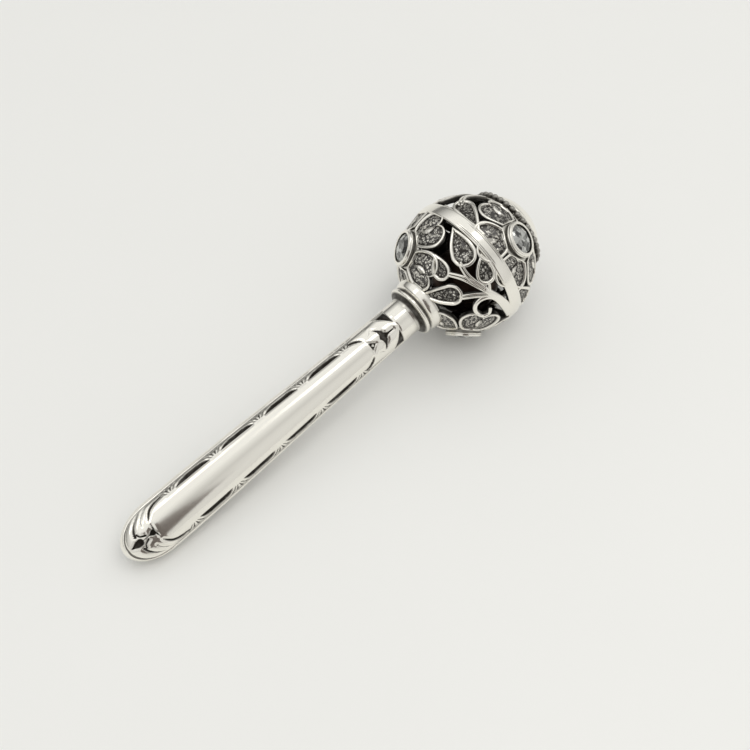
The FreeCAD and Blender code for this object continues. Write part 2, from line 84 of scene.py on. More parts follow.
class RATTLE_PG_globe(bpy.types.PropertyGroup):
    """Sizes of the openwork globe, in millimetres and degrees."""
    radius: length("Radius", "Outside of the openwork", 15.0)
    wall: length("Wall", "Thickness of the openwork", 1.1)
    recess: length("Recess", "Depth of the stippled floors under their rims", 0.45)
    rim: length("Rim", "Width of the raised rims", 0.88)
    rest_roll: angle("Rest roll", "How far the handle's panel leans", 41.0)
    band_half_angle: angle("Band half angle", "Latitude of the band's edges", 5.8)
    band_rise: length("Band rise", "How far the band stands over the openwork", 0.15)
    near_ring_angle: angle("Near ring angle", "Angular radius of the ring at the collar", 25.0)
    far_ring_angle: angle("Far ring angle", "Angular radius of the ring under the beads", 40.0)
    far_ring_inner_angle: angle("Far ring inner angle", "Angular radius of that ring's hole", 27.0)
    cap_angle: angle("Cap angle", "Angular radius of the domed cap", 33.0)
    cap_rise: length("Cap rise", "How far the dome stands over the openwork", 2.6)
    cap_wall: length("Cap wall", "Thickness of the dome", 0.8)
    bead_ring_angle: angle("Bead ring angle", "Angular radius of the row of beads", 36.4)
    bead_radius: length("Bead radius", "Radius of one bead", 0.75)
    bead_count: IntProperty(name="Bead count", description="Beads round the cap", default=34, min=8)
    bead_sunk: length("Bead sunk", "How deep a bead's foot sits in the ring", 0.3)


class RATTLE_PG_flower(bpy.types.PropertyGroup):
    """Sizes of the cast flowers and their bezels, in millimetres and degrees."""
    near_latitude: angle("Near latitude", "Latitude of the two flowers near the collar", -40.0)
    far_latitude: angle("Far latitude", "Latitude of the two flowers near the cap", 32.0)
    near_turn: angle("Near turn", "Bearing of the first petal of the near flowers", 54.0)
    far_turn: angle("Far turn", "Bearing of the first petal of the far flowers", 72.0)
    petal_count: IntProperty(name="Petal count", description="Petals of one flower", default=5, min=3)
    petal_angle: angle("Petal angle", "Angle on the globe from flower centre to petal centre", 29.5)
    petal_lift: length("Petal lift", "How far the petals' rims stand over the leaves'", 0.06)
    boss_radius: length("Boss radius", "Plain disc in the middle of a flower", 5.0)
    stone_radius: length("Stone radius", "Radius of a stone's girdle", 3.4)
    bezel_wall: length("Bezel wall", "Thickness of the bezel", 0.5)
    bezel_height: length("Bezel height", "How far the bezel stands over the openwork", 0.65)
    bezel_lip: length("Bezel lip", "How far the bezel's edge folds over the stone", 0.35)
    bezel_ledge: length("Bezel ledge", "Width of the seat under the stone", 0.5)
    crown_height: length("Crown height", "Height of a stone over its girdle", 0.8)
    stone_proud: length("Stone proud", "How far a stone's table stands over its bezel", 0.3)


class RATTLE_PG_handle(bpy.types.PropertyGroup):
    """Sizes of the collar, flange and handle, in millimetres; distances are from the globe's centre."""
    collar_radius: length("Collar radius", "Collar's radius at the globe", 5.4)
    collar_small_radius: length("Collar small radius", "Collar's radius at the flange", 5.0)
    collar_length: length("Collar length", "From the flange to the globe's pole", 1.0)
    flange_radius: length("Flange radius", "Radius of the flange", 5.85)
    flange_thickness: length("Flange thickness", "Thickness of the flange", 0.9)
    tang_radius: length("Tang radius", "Radius of the tang through collar and flange", 3.0)
    end: length("End", "Distance of the butt's tip", 94.8)
    neck_half_width: length("Neck half width", "Half the handle's width at the flange", 4.15)
    neck_half_thickness: length("Neck half thickness", "Half its thickness there", 4.1)
    butt_distance: length("Butt distance", "Where the handle is widest", 86.0)
    butt_half_width: length("Butt half width", "Half the handle's width there", 5.6)
    butt_half_thickness: length("Butt half thickness", "Half its thickness there", 4.6)
    first_tuft: length("First tuft", "Distance of the leaf tuft nearest the globe", 34.2)
    tuft_pitch: length("Tuft pitch", "From one tuft to the next", 11.53)
    slot_count: IntProperty(name="Slot count", description="Slots between the tufts on each side", default=4)
    border_bearing: angle("Border bearing", "Where the border runs, from the panel's middle", 52.0)
    panel_turn: angle("Panel turn", "How far the panel is turned from the flowers", 9.5)
    slot_width: length("Slot width", "Width of the slots in the border", 1.3)
    relief: length("Relief", "Depth of the chased border", 0.42)


class RATTLE_PG_finish(bpy.types.PropertyGroup):
    """Colours and finishes."""
    silver: colour("Silver", "Polished silver", (0.94, 0.915, 0.845))
    shade: colour("Shade", "Silver that has greyed on the stippled floors", (0.15, 0.145, 0.14))
    oxide: colour("Oxide", "Darkened silver in the recesses", (0.030, 0.026, 0.022))
    polish: share("Polish", "Roughness of the polished silver", 0.13)
    dullness: share("Dullness", "Roughness of the darkened silver", 0.42)
    brass: colour("Brass", "The bell's brass", (0.075, 0.048, 0.036))
    punch_size: length("Punch size", "Spacing of the rings punched into the floors", 0.60)
    steel: colour("Steel", "The pellet's steel", (0.50, 0.50, 0.49))
    # size of the painted facet glints: cells of unequal brightness in the stones' colour
    facet_glint_size: length("Facet size", "Size of the facets seen in a stone", 1.15)
    glass: colour("Stone", "The stones' clear glass", (0.90, 0.91, 0.88))


class RATTLE_PG_stage(bpy.types.PropertyGroup):
    """Camera, floor and lamps."""
    azimuth: angle("Azimuth", "Which way the camera looks", -42.5)
    elevation: angle("Elevation", "How far the camera stands above the horizon", 58.0)
    distance: length("Distance", "From the camera to the point it circles", 275.0)
    slide_right: length("Slide right", "Camera moved to its right", -5.4, -100.0)
    slide_up: length("Slide up", "Camera moved up its picture", -13.0, -100.0)
    lens: length("Lens", "Focal length on a 36 mm sensor", 62.4)
    floor: colour("Floor", "Table top", (0.885, 0.885, 0.865))
    ceiling: colour("Ceiling", "Light from overhead", (0.90, 0.90, 0.885))
    horizon_near: colour("Near horizon", "Light along the table from the near side", (0.74, 0.735, 0.715))
    horizon_far: colour("Far horizon", "Light along the table from the far side", (0.20, 0.20, 0.195))
    near_side: colour("Near side", "Light from behind the camera", (0.58, 0.575, 0.56))
    card: colour("Card", "Brown card that the butt mirrors", (0.22, 0.19, 0.18))


# ---- the rattle's frame -----------------------------------------------------------------------------------
def sin(degrees):
    return np.sin(np.radians(degrees))


def cos(degrees):
    return np.cos(np.radians(degrees))


def unit(vectors):
    vectors = np.asarray(vectors, float)
    return vectors / np.linalg.norm(vectors, axis=-1, keepdims=True)


def rest_axes():
    """The rattle's own X, Y and Z in the row frame, as rows.

    X is the roll joint's axis. Y and Z are the upright pair beside it, turned about it by the rest roll.
    """
    along = unit(ROLL_JOINT["axis"])
    side = np.array([0.0, 1.0, 0.0])
    above = np.cross(along, side)
    roll = bpy.context.scene.rattle_globe.rest_roll
    return np.array([along, side * cos(roll) + above * sin(roll), above * cos(roll) - side * sin(roll)])


def settle(points):
    """Points of the rattle's own frame, in mm, laid down at rest in the row frame, in metres."""
    return np.asarray(points) @ rest_axes() / 1000.0 + np.array(ROLL_JOINT["pos_m"])


def direction(place):
    """Unit vector from the globe's centre to a (latitude, longitude); either may be an array."""
    latitude, longitude = place
    return np.stack(np.broadcast_arrays(
        sin(latitude), -cos(latitude) * sin(longitude), cos(latitude) * cos(longitude)), axis=-1)


def plane_at(outward, towards):
    """Axes of the plane that faces a direction: X is in the plane of outward and towards, Z is outward."""
    z = unit(outward)
    x = unit(towards - z * np.dot(towards, z))
    return np.array([x, np.cross(z, x), z])


def flat(plane, place):
    """A place on the globe as seen square on to a plane: its X and Y there."""
    return (plane @ direction(place) * bpy.context.scene.rattle_globe.radius)[:2]


def away(centre, bearing, spread):
    """Direction at an angle from a centre place. Bearing 0 is towards the far pole, 90 towards +longitude."""
    latitude, longitude = centre
    north = np.array([cos(latitude), sin(latitude) * sin(longitude), -sin(latitude) * cos(longitude)])
    east = np.array([0.0, -cos(longitude), -sin(longitude)])
    return direction(centre) * cos(spread) + (north * cos(bearing) + east * sin(bearing)) * sin(spread)


def lifted(plane, x, y, height):
    """Points of a flat drawing carried to the globe: the sphere's point over (x, y), pushed out by height."""
    radius = bpy.context.scene.rattle_globe.radius
    x, y, height = np.broadcast_arrays(x, y, height)
    z = np.sqrt(np.maximum(radius ** 2 - x ** 2 - y ** 2, 1e-6))
    points = np.stack([x, y, z], axis=-1) @ plane
    return points * ((radius + height) / radius)[..., None]


def half_turn(points):
    """Points turned half way round the rattle's axis."""
    return points * np.array([1.0, -1.0, -1.0])


def smooth(low, high, values):
    """Smooth step: 0 below low, 1 above high, and the cubic 3t^2 - 2t^3 between."""
    t = np.clip((values - low) / (high - low), 0.0, 1.0)
    return t * t * (3.0 - 2.0 * t)


def bump(distance, half_width):
    """Rounded ridge: 1 at distance 0, falling as a cosine bell to 0 at the half width."""
    return 0.5 + 0.5 * np.cos(np.pi * np.clip(np.abs(distance) / half_width, 0.0, 1.0))


# ---- meshes -----------------------------------------------------------------------------------------------
class Body:
    """A piece's mesh in the making: closed grids of points, with the two masks that its finish reads."""

    def __init__(self, name):
        self.name = name
        self.points, self.faces, self.patina, self.stipple = [], [], [], []
        self.count = 0

    def grid(self, points, patina, stipple=0.0):
        """Adds one surface: rows by columns of points, the last column joined to the first.

        Its faces are turned outwards by the sign of the volume that they enclose, worked out as the sum over
        the faces of the first corner dotted with the cross product of the diagonals.
        """
        rows, columns = points.shape[:2]
        index = np.arange(rows * columns).reshape(rows, columns)
        after = np.roll(index, -1, axis=1)
        quads = np.stack([index[:-1], after[:-1], after[1:], index[1:]], axis=-1).reshape(-1, 4)
        flat_points = points.reshape(-1, 3)
        a, b, c, d = (flat_points[quads[:, k]] - flat_points.mean(axis=0) for k in range(4))
        if np.einsum("ij,ij->", a + b + c + d, np.cross(c - a, d - b)) < 0:
            quads = quads[:, ::-1]
        self.points.append(flat_points)
        self.faces.append(quads + self.count)
        self.patina.append(np.broadcast_to(patina, (rows, columns)).ravel())
        self.stipple.append(np.broadcast_to(stipple, (rows, columns)).ravel())
        self.count += rows * columns

    def make(self, body, slot, material, *nodes):
        """The finished object: corners that meet are merged, it rides on a body and stands for its nodes."""
        mesh = bpy.data.meshes.new(self.name)
        points = settle(np.concatenate(self.points))
        faces = np.concatenate(self.faces)
        mesh.vertices.add(len(points))
        mesh.vertices.foreach_set("co", points.ravel())
        mesh.loops.add(faces.size)
        mesh.loops.foreach_set("vertex_index", faces.ravel())
        mesh.polygons.add(len(faces))
        mesh.polygons.foreach_set("loop_start", np.arange(0, faces.size, 4))
        mesh.update(calc_edges=True)
        for label, parts in (("patina", self.patina), ("stipple", self.stipple)):
            layer = mesh.attributes.new(label, "FLOAT", "POINT")
            layer.data.foreach_set("value", np.concatenate(parts).astype(np.float32))
        work = bmesh.new()
        work.from_mesh(mesh)
        bmesh.ops.remove_doubles(work, verts=work.verts, dist=2e-7)
        bmesh.ops.dissolve_degenerate(work, edges=work.edges, dist=1e-8)
        work.to_mesh(mesh)
        work.free()
        mesh.polygons.foreach_set("use_smooth", np.ones(len(mesh.polygons), bool))
        mesh.materials.append(material)
        piece = bpy.data.objects.new(self.name, mesh)
        bpy.context.collection.objects.link(piece)
        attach(piece, body)
        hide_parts(*nodes)


def through(points, count, closed=True, corners=()):
    """Points on a smooth curve through given ones (Catmull-Rom), evenly shared between its spans.

    In a span from b to c with neighbours a and d, the point is
    ((2b) + (c - a)t + (2a - 5b + 4c - d)t^2 + (3b - a - 3c + d)t^3) / 2.
    At a corner the neighbour beyond it is the corner itself, so that the curve kinks there.
    """
    points = np.asarray(points, float)
    total = len(points)
    spans = total if closed else total - 1
    at = np.linspace(0, spans, count, endpoint=not closed)
    start = np.minimum(at.astype(int), spans - 1)
    t = (at - start)[:, None]

    def pick(index):
        return points[index % total] if closed else points[np.clip(index, 0, total - 1)]

    b, c = pick(start), pick(start + 1)
    kink = np.zeros(total, bool)
    kink[list(corners)] = True
    a = np.where(kink[start % total][:, None], b, pick(start - 1))
    d = np.where(kink[(start + 1) % total][:, None], c, pick(start + 2))
    return (2 * b + (c - a) * t + (2 * a - 5 * b + 4 * c - d) * t ** 2 + (3 * b - a - 3 * c + d) * t ** 3) / 2


RIM_STEPS = np.array([0.0, 0.03, 0.09, 0.17, 0.27, 0.38, 0.5, 0.62, 0.74, 0.85, 0.93, 1.0, 1.1, 1.2, 1.32])
FLOOR_ROWS = 16
EDGE_DROP = 0.30        # how far a rim or strip rounds off at its edge, in mm
FOOT_DROP = 0.12        # and its side wall above the underside, in mm


def plate(body, plane, outline, spine, detail, copies, lift=0.0):
    """Adds a leaf or petal in relief: its outline drawn in rows, each a little further in than the last.

    A row lies at an inset from the outline, measured towards the nearest point of the spine, a straight run
    along the drawing's X. Rows go from the underside's middle out to the edge, up the side wall, over the
    rim, down to the floor and in to its middle. The rim rounds off as a quarter circle, and drops to the
    floor as a smooth step. detail(x, y, inset) gives (height, patina, stipple) inside the rim.
    """
    sizes = bpy.context.scene.rattle_globe
    rim, wall = sizes.rim, sizes.wall
    target = np.stack([np.clip(outline[:, 0], *spine), np.zeros(len(outline))], axis=-1)
    reach = np.linalg.norm(target - outline, axis=-1, keepdims=True)
    inward = (target - outline) / reach
    middle = np.array([sum(spine) / 2, 0.0])
    edge = np.stack([outline + inward * np.minimum(inset, reach * 0.8) for inset in RIM_STEPS * rim])
    fill = np.linspace(0, 1, FLOOR_ROWS + 1)[1:, None, None]
    inner = edge[-1] * (1 - fill) + middle * fill
    inner_inset = np.maximum(reach[:, 0] - np.linalg.norm(inner - target, axis=-1), RIM_STEPS[-1] * rim)
    x, y = np.moveaxis(np.concatenate([edge, inner]), -1, 0)
    inset = np.concatenate([np.broadcast_to(RIM_STEPS[:, None] * rim, edge.shape[:2]), inner_inset])
    inside = smooth(0.8 * rim, 1.1 * rim, inset)
    rounded_off = 1 - np.sqrt(np.clip(1 - (1 - np.clip(inset / (0.36 * rim), 0, 1)) ** 2, 0, 1))
    height, patina, stipple = detail(x, y, inset)
    sunken = smooth(0.62 * rim, 1.06 * rim, inset)
    height = lift + height * inside - sizes.recess * sunken - EDGE_DROP * rounded_off
    patina = np.maximum.reduce([
        patina * inside,
        0.92 * bump(inset - 1.06 * rim, 0.30 * rim),
        0.55 * (1 - smooth(1.2 * rim, 2.1 * rim, inset)) * smooth(0.85 * rim, rim, inset),
        0.85 * (1 - smooth(0.0, 0.22 * rim, inset))])
    side = [lifted(plane, *outline.T, lift - EDGE_DROP - (wall - EDGE_DROP - FOOT_DROP) * step)
            for step in (1.0, 0.7, 0.35)]
    fill = np.array([1.0, 0.6, 0.2, 0.03, 0.0])[:, None]
    under = lifted(plane, outline[:, 0] * (1 - fill) + middle[0] * fill, outline[:, 1] * (1 - fill),
                   np.where(fill > 0, -wall, 0.05 - wall))
    points = np.concatenate([under, side, lifted(plane, x, y, height)])
    dark = np.concatenate([np.full(under.shape[:2], 0.92), np.full((3, len(outline)), 0.88), patina])
    grain = np.concatenate([np.zeros((len(under) + 3, len(outline))), stipple * inside])
    for copy in copies:
        body.grid(copy(points), dark, grain)


def sweep(body, plane, path, width, ridges, taper, lift):
    """Adds a strip carried along a flat path and lifted on to the globe, closed at both ends.

    Each section lies square to the path, whose direction is the difference of its neighbours. taper is the
    share of the width at the path's start, and what it has gained by the end.
    """
    profile = strip_profile(ridges)
    along = np.gradient(path, axis=0)
    across = unit(np.stack([-along[:, 1], along[:, 0]], axis=-1))
    half = width / 2 * (taper[0] + taper[1] * np.linspace(0, 1, len(path)))
    sections = path[:, None, :] + across[:, None, :] * (half[:, None] * profile[:, 0])[..., None]
    points = lifted(plane, sections[..., 0], sections[..., 1], profile[:, 1] + lift)
    ends = [lifted(plane, *(path[k] + 0 * profile[:, :1]).T, -0.5)[None] for k in (0, -1)]
    points = np.concatenate([ends[0], points, ends[1]])
    for copy in BOTH:
        body.grid(copy(points), profile[:, 2])


def strip_profile(ridges):
    """Section of a strip, a closed loop of (share of the half width, height, patina).

    One ridge's top is a circle's arc, height = -0.32 (1 - sqrt(1 - t^2)) about its middle. Two ridges share a
    flatter top with the sixth power of t, and the dark groove between them is a cosine bell 0.28 deep.
    """
    wall = bpy.context.scene.rattle_globe.wall
    across = np.linspace(-1, 1, 33)
    if ridges == 1:
        groove, height = 0.0, -0.32 * (1 - np.sqrt(1 - across ** 2))
    else:
        groove = bump(across, 0.30)
        height = -EDGE_DROP * (1 - np.sqrt(1 - across ** 6)) - 0.28 * groove
    patina = np.maximum(0.95 * smooth(0.25, 0.8, groove), 0.8 * smooth(0.84, 0.98, np.abs(across)))
    under = [[1, -wall * 0.65, 0.85], [0.97, -wall, 0.9], [0, -wall, 0.95], [-0.97, -wall, 0.9],
             [-1, -wall * 0.65, 0.85]]
    return np.concatenate([np.stack([across, height, patina], axis=-1), under])


def turned(body, outline, steps, patina, axes=None, scale=1.0):
    """Adds a profile of (along, radius) turned once about X, or about the Z of other axes.

    Each point is along the axis, with radius times (cosine, sine) of the bearing across it. scale moves the
    points towards the centre, by row and bearing.
    """
    bearing = np.arange(steps) * 360.0 / steps
    along, radius = (outline[:, k, None] * scale + 0 * bearing for k in (0, 1))
    points = np.stack([along, radius * sin(bearing), radius * cos(bearing)], axis=-1)
    if axes is not None:
        points = points[..., [1, 2, 0]] @ axes
    body.grid(points, np.reshape(patina, (len(outline), -1)))


def rounded(corners, radius, steps):
    """A polygon of (along, radius) corners with each corner rounded by a quadratic curve.

    Near a corner c between a and b, the point is (1-t)^2 p + 2t(1-t) c + t^2 q, where p and q lie on the two
    sides at the rounding radius from c, or at 0.45 of a shorter side.
    """
    corners = np.asarray(corners, float)
    before, after = np.roll(corners, 1, axis=0), np.roll(corners, -1, axis=0)
    back, on = before - corners, after - corners
    size_back = np.linalg.norm(back, axis=-1, keepdims=True)
    size_on = np.linalg.norm(on, axis=-1, keepdims=True)
    radius = np.broadcast_to(np.asarray(radius, float), len(corners))[:, None]
    p = corners + back / size_back * np.minimum(radius, 0.45 * size_back)
    q = corners + on / size_on * np.minimum(radius, 0.45 * size_on)
    t = np.linspace(0, 1, steps)[None, :, None]
    curve = (1 - t) ** 2 * p[:, None] + 2 * t * (1 - t) * corners[:, None] + t ** 2 * q[:, None]
    loop = curve.reshape(-1, 2)
    return np.concatenate([loop, loop[:1]])


def rounded_corners(corners, steps=8):
    """A polygon of (along, radius, rounding) corners, each corner rounded by its own radius."""
    corners = np.asarray(corners, float)
    return rounded(corners[:, :2], corners[:, 2], steps)


BOTH = (lambda points: points, half_turn)


# ---- shader maths -----------------------------------------------------------------------------------------
class Value:
    """A number in a shader. Arithmetic on it adds Math nodes."""

    def __init__(self, tree, socket):
        self.tree, self.socket = tree, socket

    def maths(self, operation, *values, clamp=False):
        node = self.tree.nodes.new("ShaderNodeMath")
        node.operation, node.use_clamp = operation, clamp
        for socket, value in zip(node.inputs, values):
            plug(self.tree, socket, value)
        return Value(self.tree, node.outputs[0])

    def __add__(self, other): return self.maths("ADD", self, other)
    def __radd__(self, other): return self.maths("ADD", other, self)
    def __sub__(self, other): return self.maths("SUBTRACT", self, other)
    def __rsub__(self, other): return self.maths("SUBTRACT", other, self)
    def __mul__(self, other): return self.maths("MULTIPLY", self, other)
    def __rmul__(self, other): return self.maths("MULTIPLY", other, self)

    def absolute(self):
        return self.maths("ABSOLUTE", self)

    def clamped(self):
        return self.maths("ADD", self, 0.0, clamp=True)


def plug(tree, socket, value):
    """Links a socket to a shader value, or sets it to a plain number or colour."""
    if isinstance(value, Value):
        tree.links.new(value.socket, socket)
    elif hasattr(value, "__len__") and len(socket.default_value) == 4 and len(value) == 3:
        socket.default_value = (*value, 1.0)
    else:
        socket.default_value = value


def darker(colour, share):
    return tuple(part * share for part in colour)


class Nodes:
    """A shader's nodes, and one method that adds any node to them."""

    def __init__(self, tree):
        self.tree = tree
        self.tree.nodes.clear()

    def node(self, kind, settings=None, sockets=None, output=0):
        node = self.tree.nodes.new("ShaderNode" + kind)
        for key, value in (settings or {}).items():
            setattr(node, key, value)
        for key, value in (sockets or {}).items():
            plug(self.tree, node.inputs[key], value)
        return Value(self.tree, node.outputs[output]) if node.outputs else node

    def mask(self, label):
        return self.node("Attribute", {"attribute_name": label}, output="Fac")

    def place(self):
        return self.node("TexCoord", output="Object")

    def noise(self, size, detail, roughness, where=None):
        """Noise whose lumps are about a size in mm."""
        return self.node("TexNoise", output="Fac", sockets={
            "Vector": where or self.place(), "Scale": 1000.0 / size,
            "Detail": detail, "Roughness": roughness})

    def cells(self, size, unevenness, output):
        """Voronoi cells about a size in mm apart: the distance from a cell's middle, or its colour."""
        return self.node("TexVoronoi", {"feature": "F1"}, {
            "Vector": self.place(), "Scale": 1000.0 / size, "Randomness": unevenness}, output)

    def mix(self, factor, a, b):
        """A colour between two."""
        return self.node("Mix", {"data_type": "RGBA"}, {0: factor, 6: a, 7: b}, output=2)

    def bumped(self, height, distance, strength, normal=None):
        sockets = {"Height": height, "Distance": distance / 1000.0, "Strength": strength}
        if normal is not None:
            sockets["Normal"] = normal
        return self.node("Bump", sockets=sockets, output="Normal")

    def end(self, shader, kind):
        self.node(kind, {"is_active_output": True}, {"Surface": shader})


class Finish(Nodes):
    """A material."""

    def __init__(self, name):
        self.material = bpy.data.materials.new(name)
        self.material.use_nodes = True
        super().__init__(self.material.node_tree)

    def surface(self, **sockets):
        shader = self.node("BsdfPrincipled", sockets={
            key.replace("_", " "): value for key, value in sockets.items()})
        self.end(shader, "OutputMaterial")
        return self.material


def silver_finish():
    """Polished silver that is grey and punched with small rings on the floors, and black in the recesses."""
    look = bpy.context.scene.rattle_finish
    finish = Finish("silver_polished")
    patina, stipple = finish.mask("patina"), finish.mask("stipple")
    place = finish.place()
    cloud = finish.noise(2.4, 3.0, 0.6, place)
    fine = finish.noise(0.16, 2.0, 0.6, place)
    wear = finish.noise(0.5, 4.0, 0.7, place)
    patch = finish.noise(0.8, 2.0, 0.5, place)
    punch = finish.cells(look.punch_size, 0.7, "Distance")
    ring = (1.0 - (punch - 0.35).absolute() * 6.0).clamped()
    dot = (1.0 - punch * 5.0).clamped()
    shine = (ring * (patch * 5.0 - 1.4).clamped() * 1.6 + (patch * 4.0 - 2.4).clamped()).clamped()
    greyed = (stipple * (1.0 - shine)).clamped()
    dark = (patina * (0.80 + 0.40 * cloud) + stipple * (dot * 0.6 + 0.22 * (1.0 - shine))).clamped()
    base = finish.mix(dark, finish.mix(greyed, look.silver, look.shade), look.oxide)
    worn = 0.08 * (wear - 0.5) + 0.22 * greyed
    rough = (look.polish + worn + (look.dullness - look.polish) * dark).clamped()
    soft = finish.bumped(fine * 0.10 + wear * 0.25, 0.010, 0.3)
    grain = finish.bumped(ring * stipple, 0.09, 0.9, soft)
    return finish.surface(Base_Color=base, Metallic=1.0, Roughness=rough, Normal=grain)


def silver():
    """The silver that all the castings share, made on first use."""
    return bpy.data.materials.get("silver_polished") or silver_finish()


def stone_finish():
    """Cut glass with painted reflections: cells of unequal brightness in its colour stand for the glints of
    its facets, and a trace of dust.
    """
    look = bpy.context.scene.rattle_finish
    finish = Finish("stone_clear")
    # painted reflections: each cell is bright or dark, standing for the light a facet throws back
    bright = (finish.cells(look.facet_glint_size, 0.8, "Color") * 2.6 - 0.8).clamped()
    base = finish.mix(bright, darker(look.glass, 0.13), look.glass)
    rough = 0.02 + 0.04 * finish.noise(1.4, 3.0, 0.6)
    return finish.surface(Base_Color=base, Metallic=0.55, Roughness=rough, IOR=1.72, Transmission_Weight=1.0)


def brass_finish():
    """Dull spun brass with brown tarnish and fine turning marks."""
    brass = bpy.context.scene.rattle_finish.brass
    finish = Finish("bell_dull_brass")
    tarnish = (finish.noise(1.8, 4.0, 0.65) * 1.6 - 0.45).clamped()
    marks = finish.bumped(finish.noise(0.25, 3.0, 0.6), 0.02, 0.6)
    return finish.surface(Base_Color=finish.mix(tarnish, brass, darker(brass, 0.35)), Metallic=1.0,
                          Roughness=0.34 + 0.25 * tarnish, Normal=marks)


def steel_finish():
    """Plain steel shot, lightly tumbled."""
    steel = bpy.context.scene.rattle_finish.steel
    finish = Finish("pellet_plain_steel")
    cloud = finish.noise(0.9, 3.0, 0.6)
    marks = finish.bumped(finish.noise(0.2, 2.0, 0.5), 0.015, 0.5)
    return finish.surface(Base_Color=finish.mix(cloud, steel, darker(steel, 0.7)), Metallic=1.0,
                          Roughness=0.28 + 0.15 * cloud, Normal=marks)


def tang_finish():
    """Rough silver, greyed in patches."""
    look = bpy.context.scene.rattle_finish
    finish = Finish("tang_silver")
    cloud = finish.noise(1.2, 3.0, 0.6)
    return finish.surface(Base_Color=finish.mix(cloud, look.silver, look.shade), Metallic=1.0,
                          Roughness=0.3 + 0.2 * cloud)


# ---- globe ------------------------------------------------------------------------------------------------
X_WAY = np.array([1.0, 0.0, 0.0])
DARK_DEPTH = 0.35    # a turned ring is dark where it lies deeper than this under the globe's outside, in mm


def lat_profile(pairs):
    """(along, radius) from (latitude, distance from the globe's centre) pairs."""
    latitude, reach = np.asarray(pairs, float).T
    return np.stack([reach * sin(latitude), reach * cos(latitude)], axis=-1)


def band_grooves(across, bearing):
    """Depth, 0 to 1, of two fine grooves beside each edge of the band, only over part of the round.

    It is a cosine bell across the groove times a smooth window along it. across runs from -1 to 1.
    """
    windows = ((1, -48, -38, -8, 2), (-1, -42, -32, -6, 4))     # side of the band, and where a window opens
    depth = 0                                                   # and closes, in degrees of longitude
    for middle in (0.0, 180.0):
        turn = (180.0 - bearing - middle) % 360.0 - 180.0
        for side, opens, open_by, closes, closed_by in windows:
            window = smooth(opens, open_by, turn) * (1 - smooth(closes, closed_by, turn))
            for place in (0.74, 0.50):
                depth = depth + window * bump(across[:, None] + side * place, 0.09)
    return np.clip(depth, 0, 1)


class RATTLE_OT_band(bpy.types.Operator):
    """Plain polished band over the joint of the globe's two halves"""
    bl_idname = "rattle.band"
    bl_label = "Band"

    def execute(self, context):
        sizes = context.scene.rattle_globe
        edge, top, inner = sizes.band_half_angle, sizes.radius + sizes.band_rise, sizes.radius - sizes.wall
        across = np.linspace(-1, 1, 61)
        upper = np.stack([across * edge, top - 0.30 * np.abs(across) ** 10 - 0.05 * across ** 2], axis=-1)
        lower = [[edge, top - 0.7], [edge, inner + 0.1], [edge - 0.4, inner], [0, inner],
                 [0.4 - edge, inner], [-edge, inner + 0.1], [-edge, top - 0.7]]
        steps = 384
        groove = np.zeros((len(upper) + len(lower) + 1, steps))
        groove[:len(upper)] = band_grooves(across, np.arange(steps) * 360.0 / steps)
        groove[-1] = groove[0]
        patina = 0.8 * groove
        patina[len(upper):-1] = 0.85
        body = Body("band_polished")
        turned(body, lat_profile(np.concatenate([upper, lower, upper[:1]])), steps, patina,
               scale=1 - 0.10 * groove / sizes.radius)
        body.make("rattle", "silver", silver(), "equator_band")
        return {"FINISHED"}


# one side of a petal, from its root to its notch, in mm from its middle
PETAL_SIDE = ((-3.4, 2.7), (-2.2, 3.6), (-1.0, 4.3), (0.3, 4.7), (1.5, 4.6), (2.65, 3.95), (3.45, 2.85),
              (3.65, 1.6), (3.3, 0.6))
PETAL_ROOT, PETAL_NOTCH = (-3.6, 0.0), (2.7, 0.0)
PETAL_SPINE = (-2.6, 1.5)
VEIN_MIDDLE, VEIN_REACH = -0.1, 1.7
BOSS_DARK = (0.9, 0.8, 0.6, 0.45, 0.4, 0.5, 0.7, 0.9, 0.9)


def petal_outline():
    """Heart-shaped petal: a smooth curve through given points, with corners at its notch and root."""
    points = [PETAL_ROOT, *PETAL_SIDE, PETAL_NOTCH, *((x, -y) for x, y in PETAL_SIDE[::-1])]
    return through(points, 180, True, (1, len(PETAL_SIDE) + 1, len(points) - 1))


def petal_detail(x, y, inset):
    """Petal floor: a raised lens-shaped vein on a punched ground, with a dark line round the vein.

    The vein's half width at x is a parabola, 0.6 (1 - ((x - middle) / reach)^2), its height a cosine bell.
    """
    along = np.abs(x - VEIN_MIDDLE)
    half = 0.60 * np.clip(1 - (along / VEIN_REACH) ** 2, 0.02, 1)
    vein = bump(y, half * 1.35) * (along < VEIN_REACH)
    around = bump(np.abs(y) - half * 1.5, 0.30) * (along < VEIN_REACH + 0.15)
    root = 1 - smooth(-2.9, -2.2, x)
    return 0.42 * vein, 0.9 * around * (1 - vein) + 0.3 * root, 1 - smooth(0.05, 0.3, vein)


def flower_places():
    """(side, name, centre, first petal's bearing, copy) of the four flowers."""
    sizes = bpy.context.scene.rattle_flower
    pairs = (("near", (sizes.near_latitude, -90.0), sizes.near_turn, ("left", "right")),
             ("far", (sizes.far_latitude, 0.0), sizes.far_turn, ("front", "back")))
    for side, centre, turn, names in pairs:
        for name, copy in zip(names, BOTH):
            yield side, name, centre, turn, copy


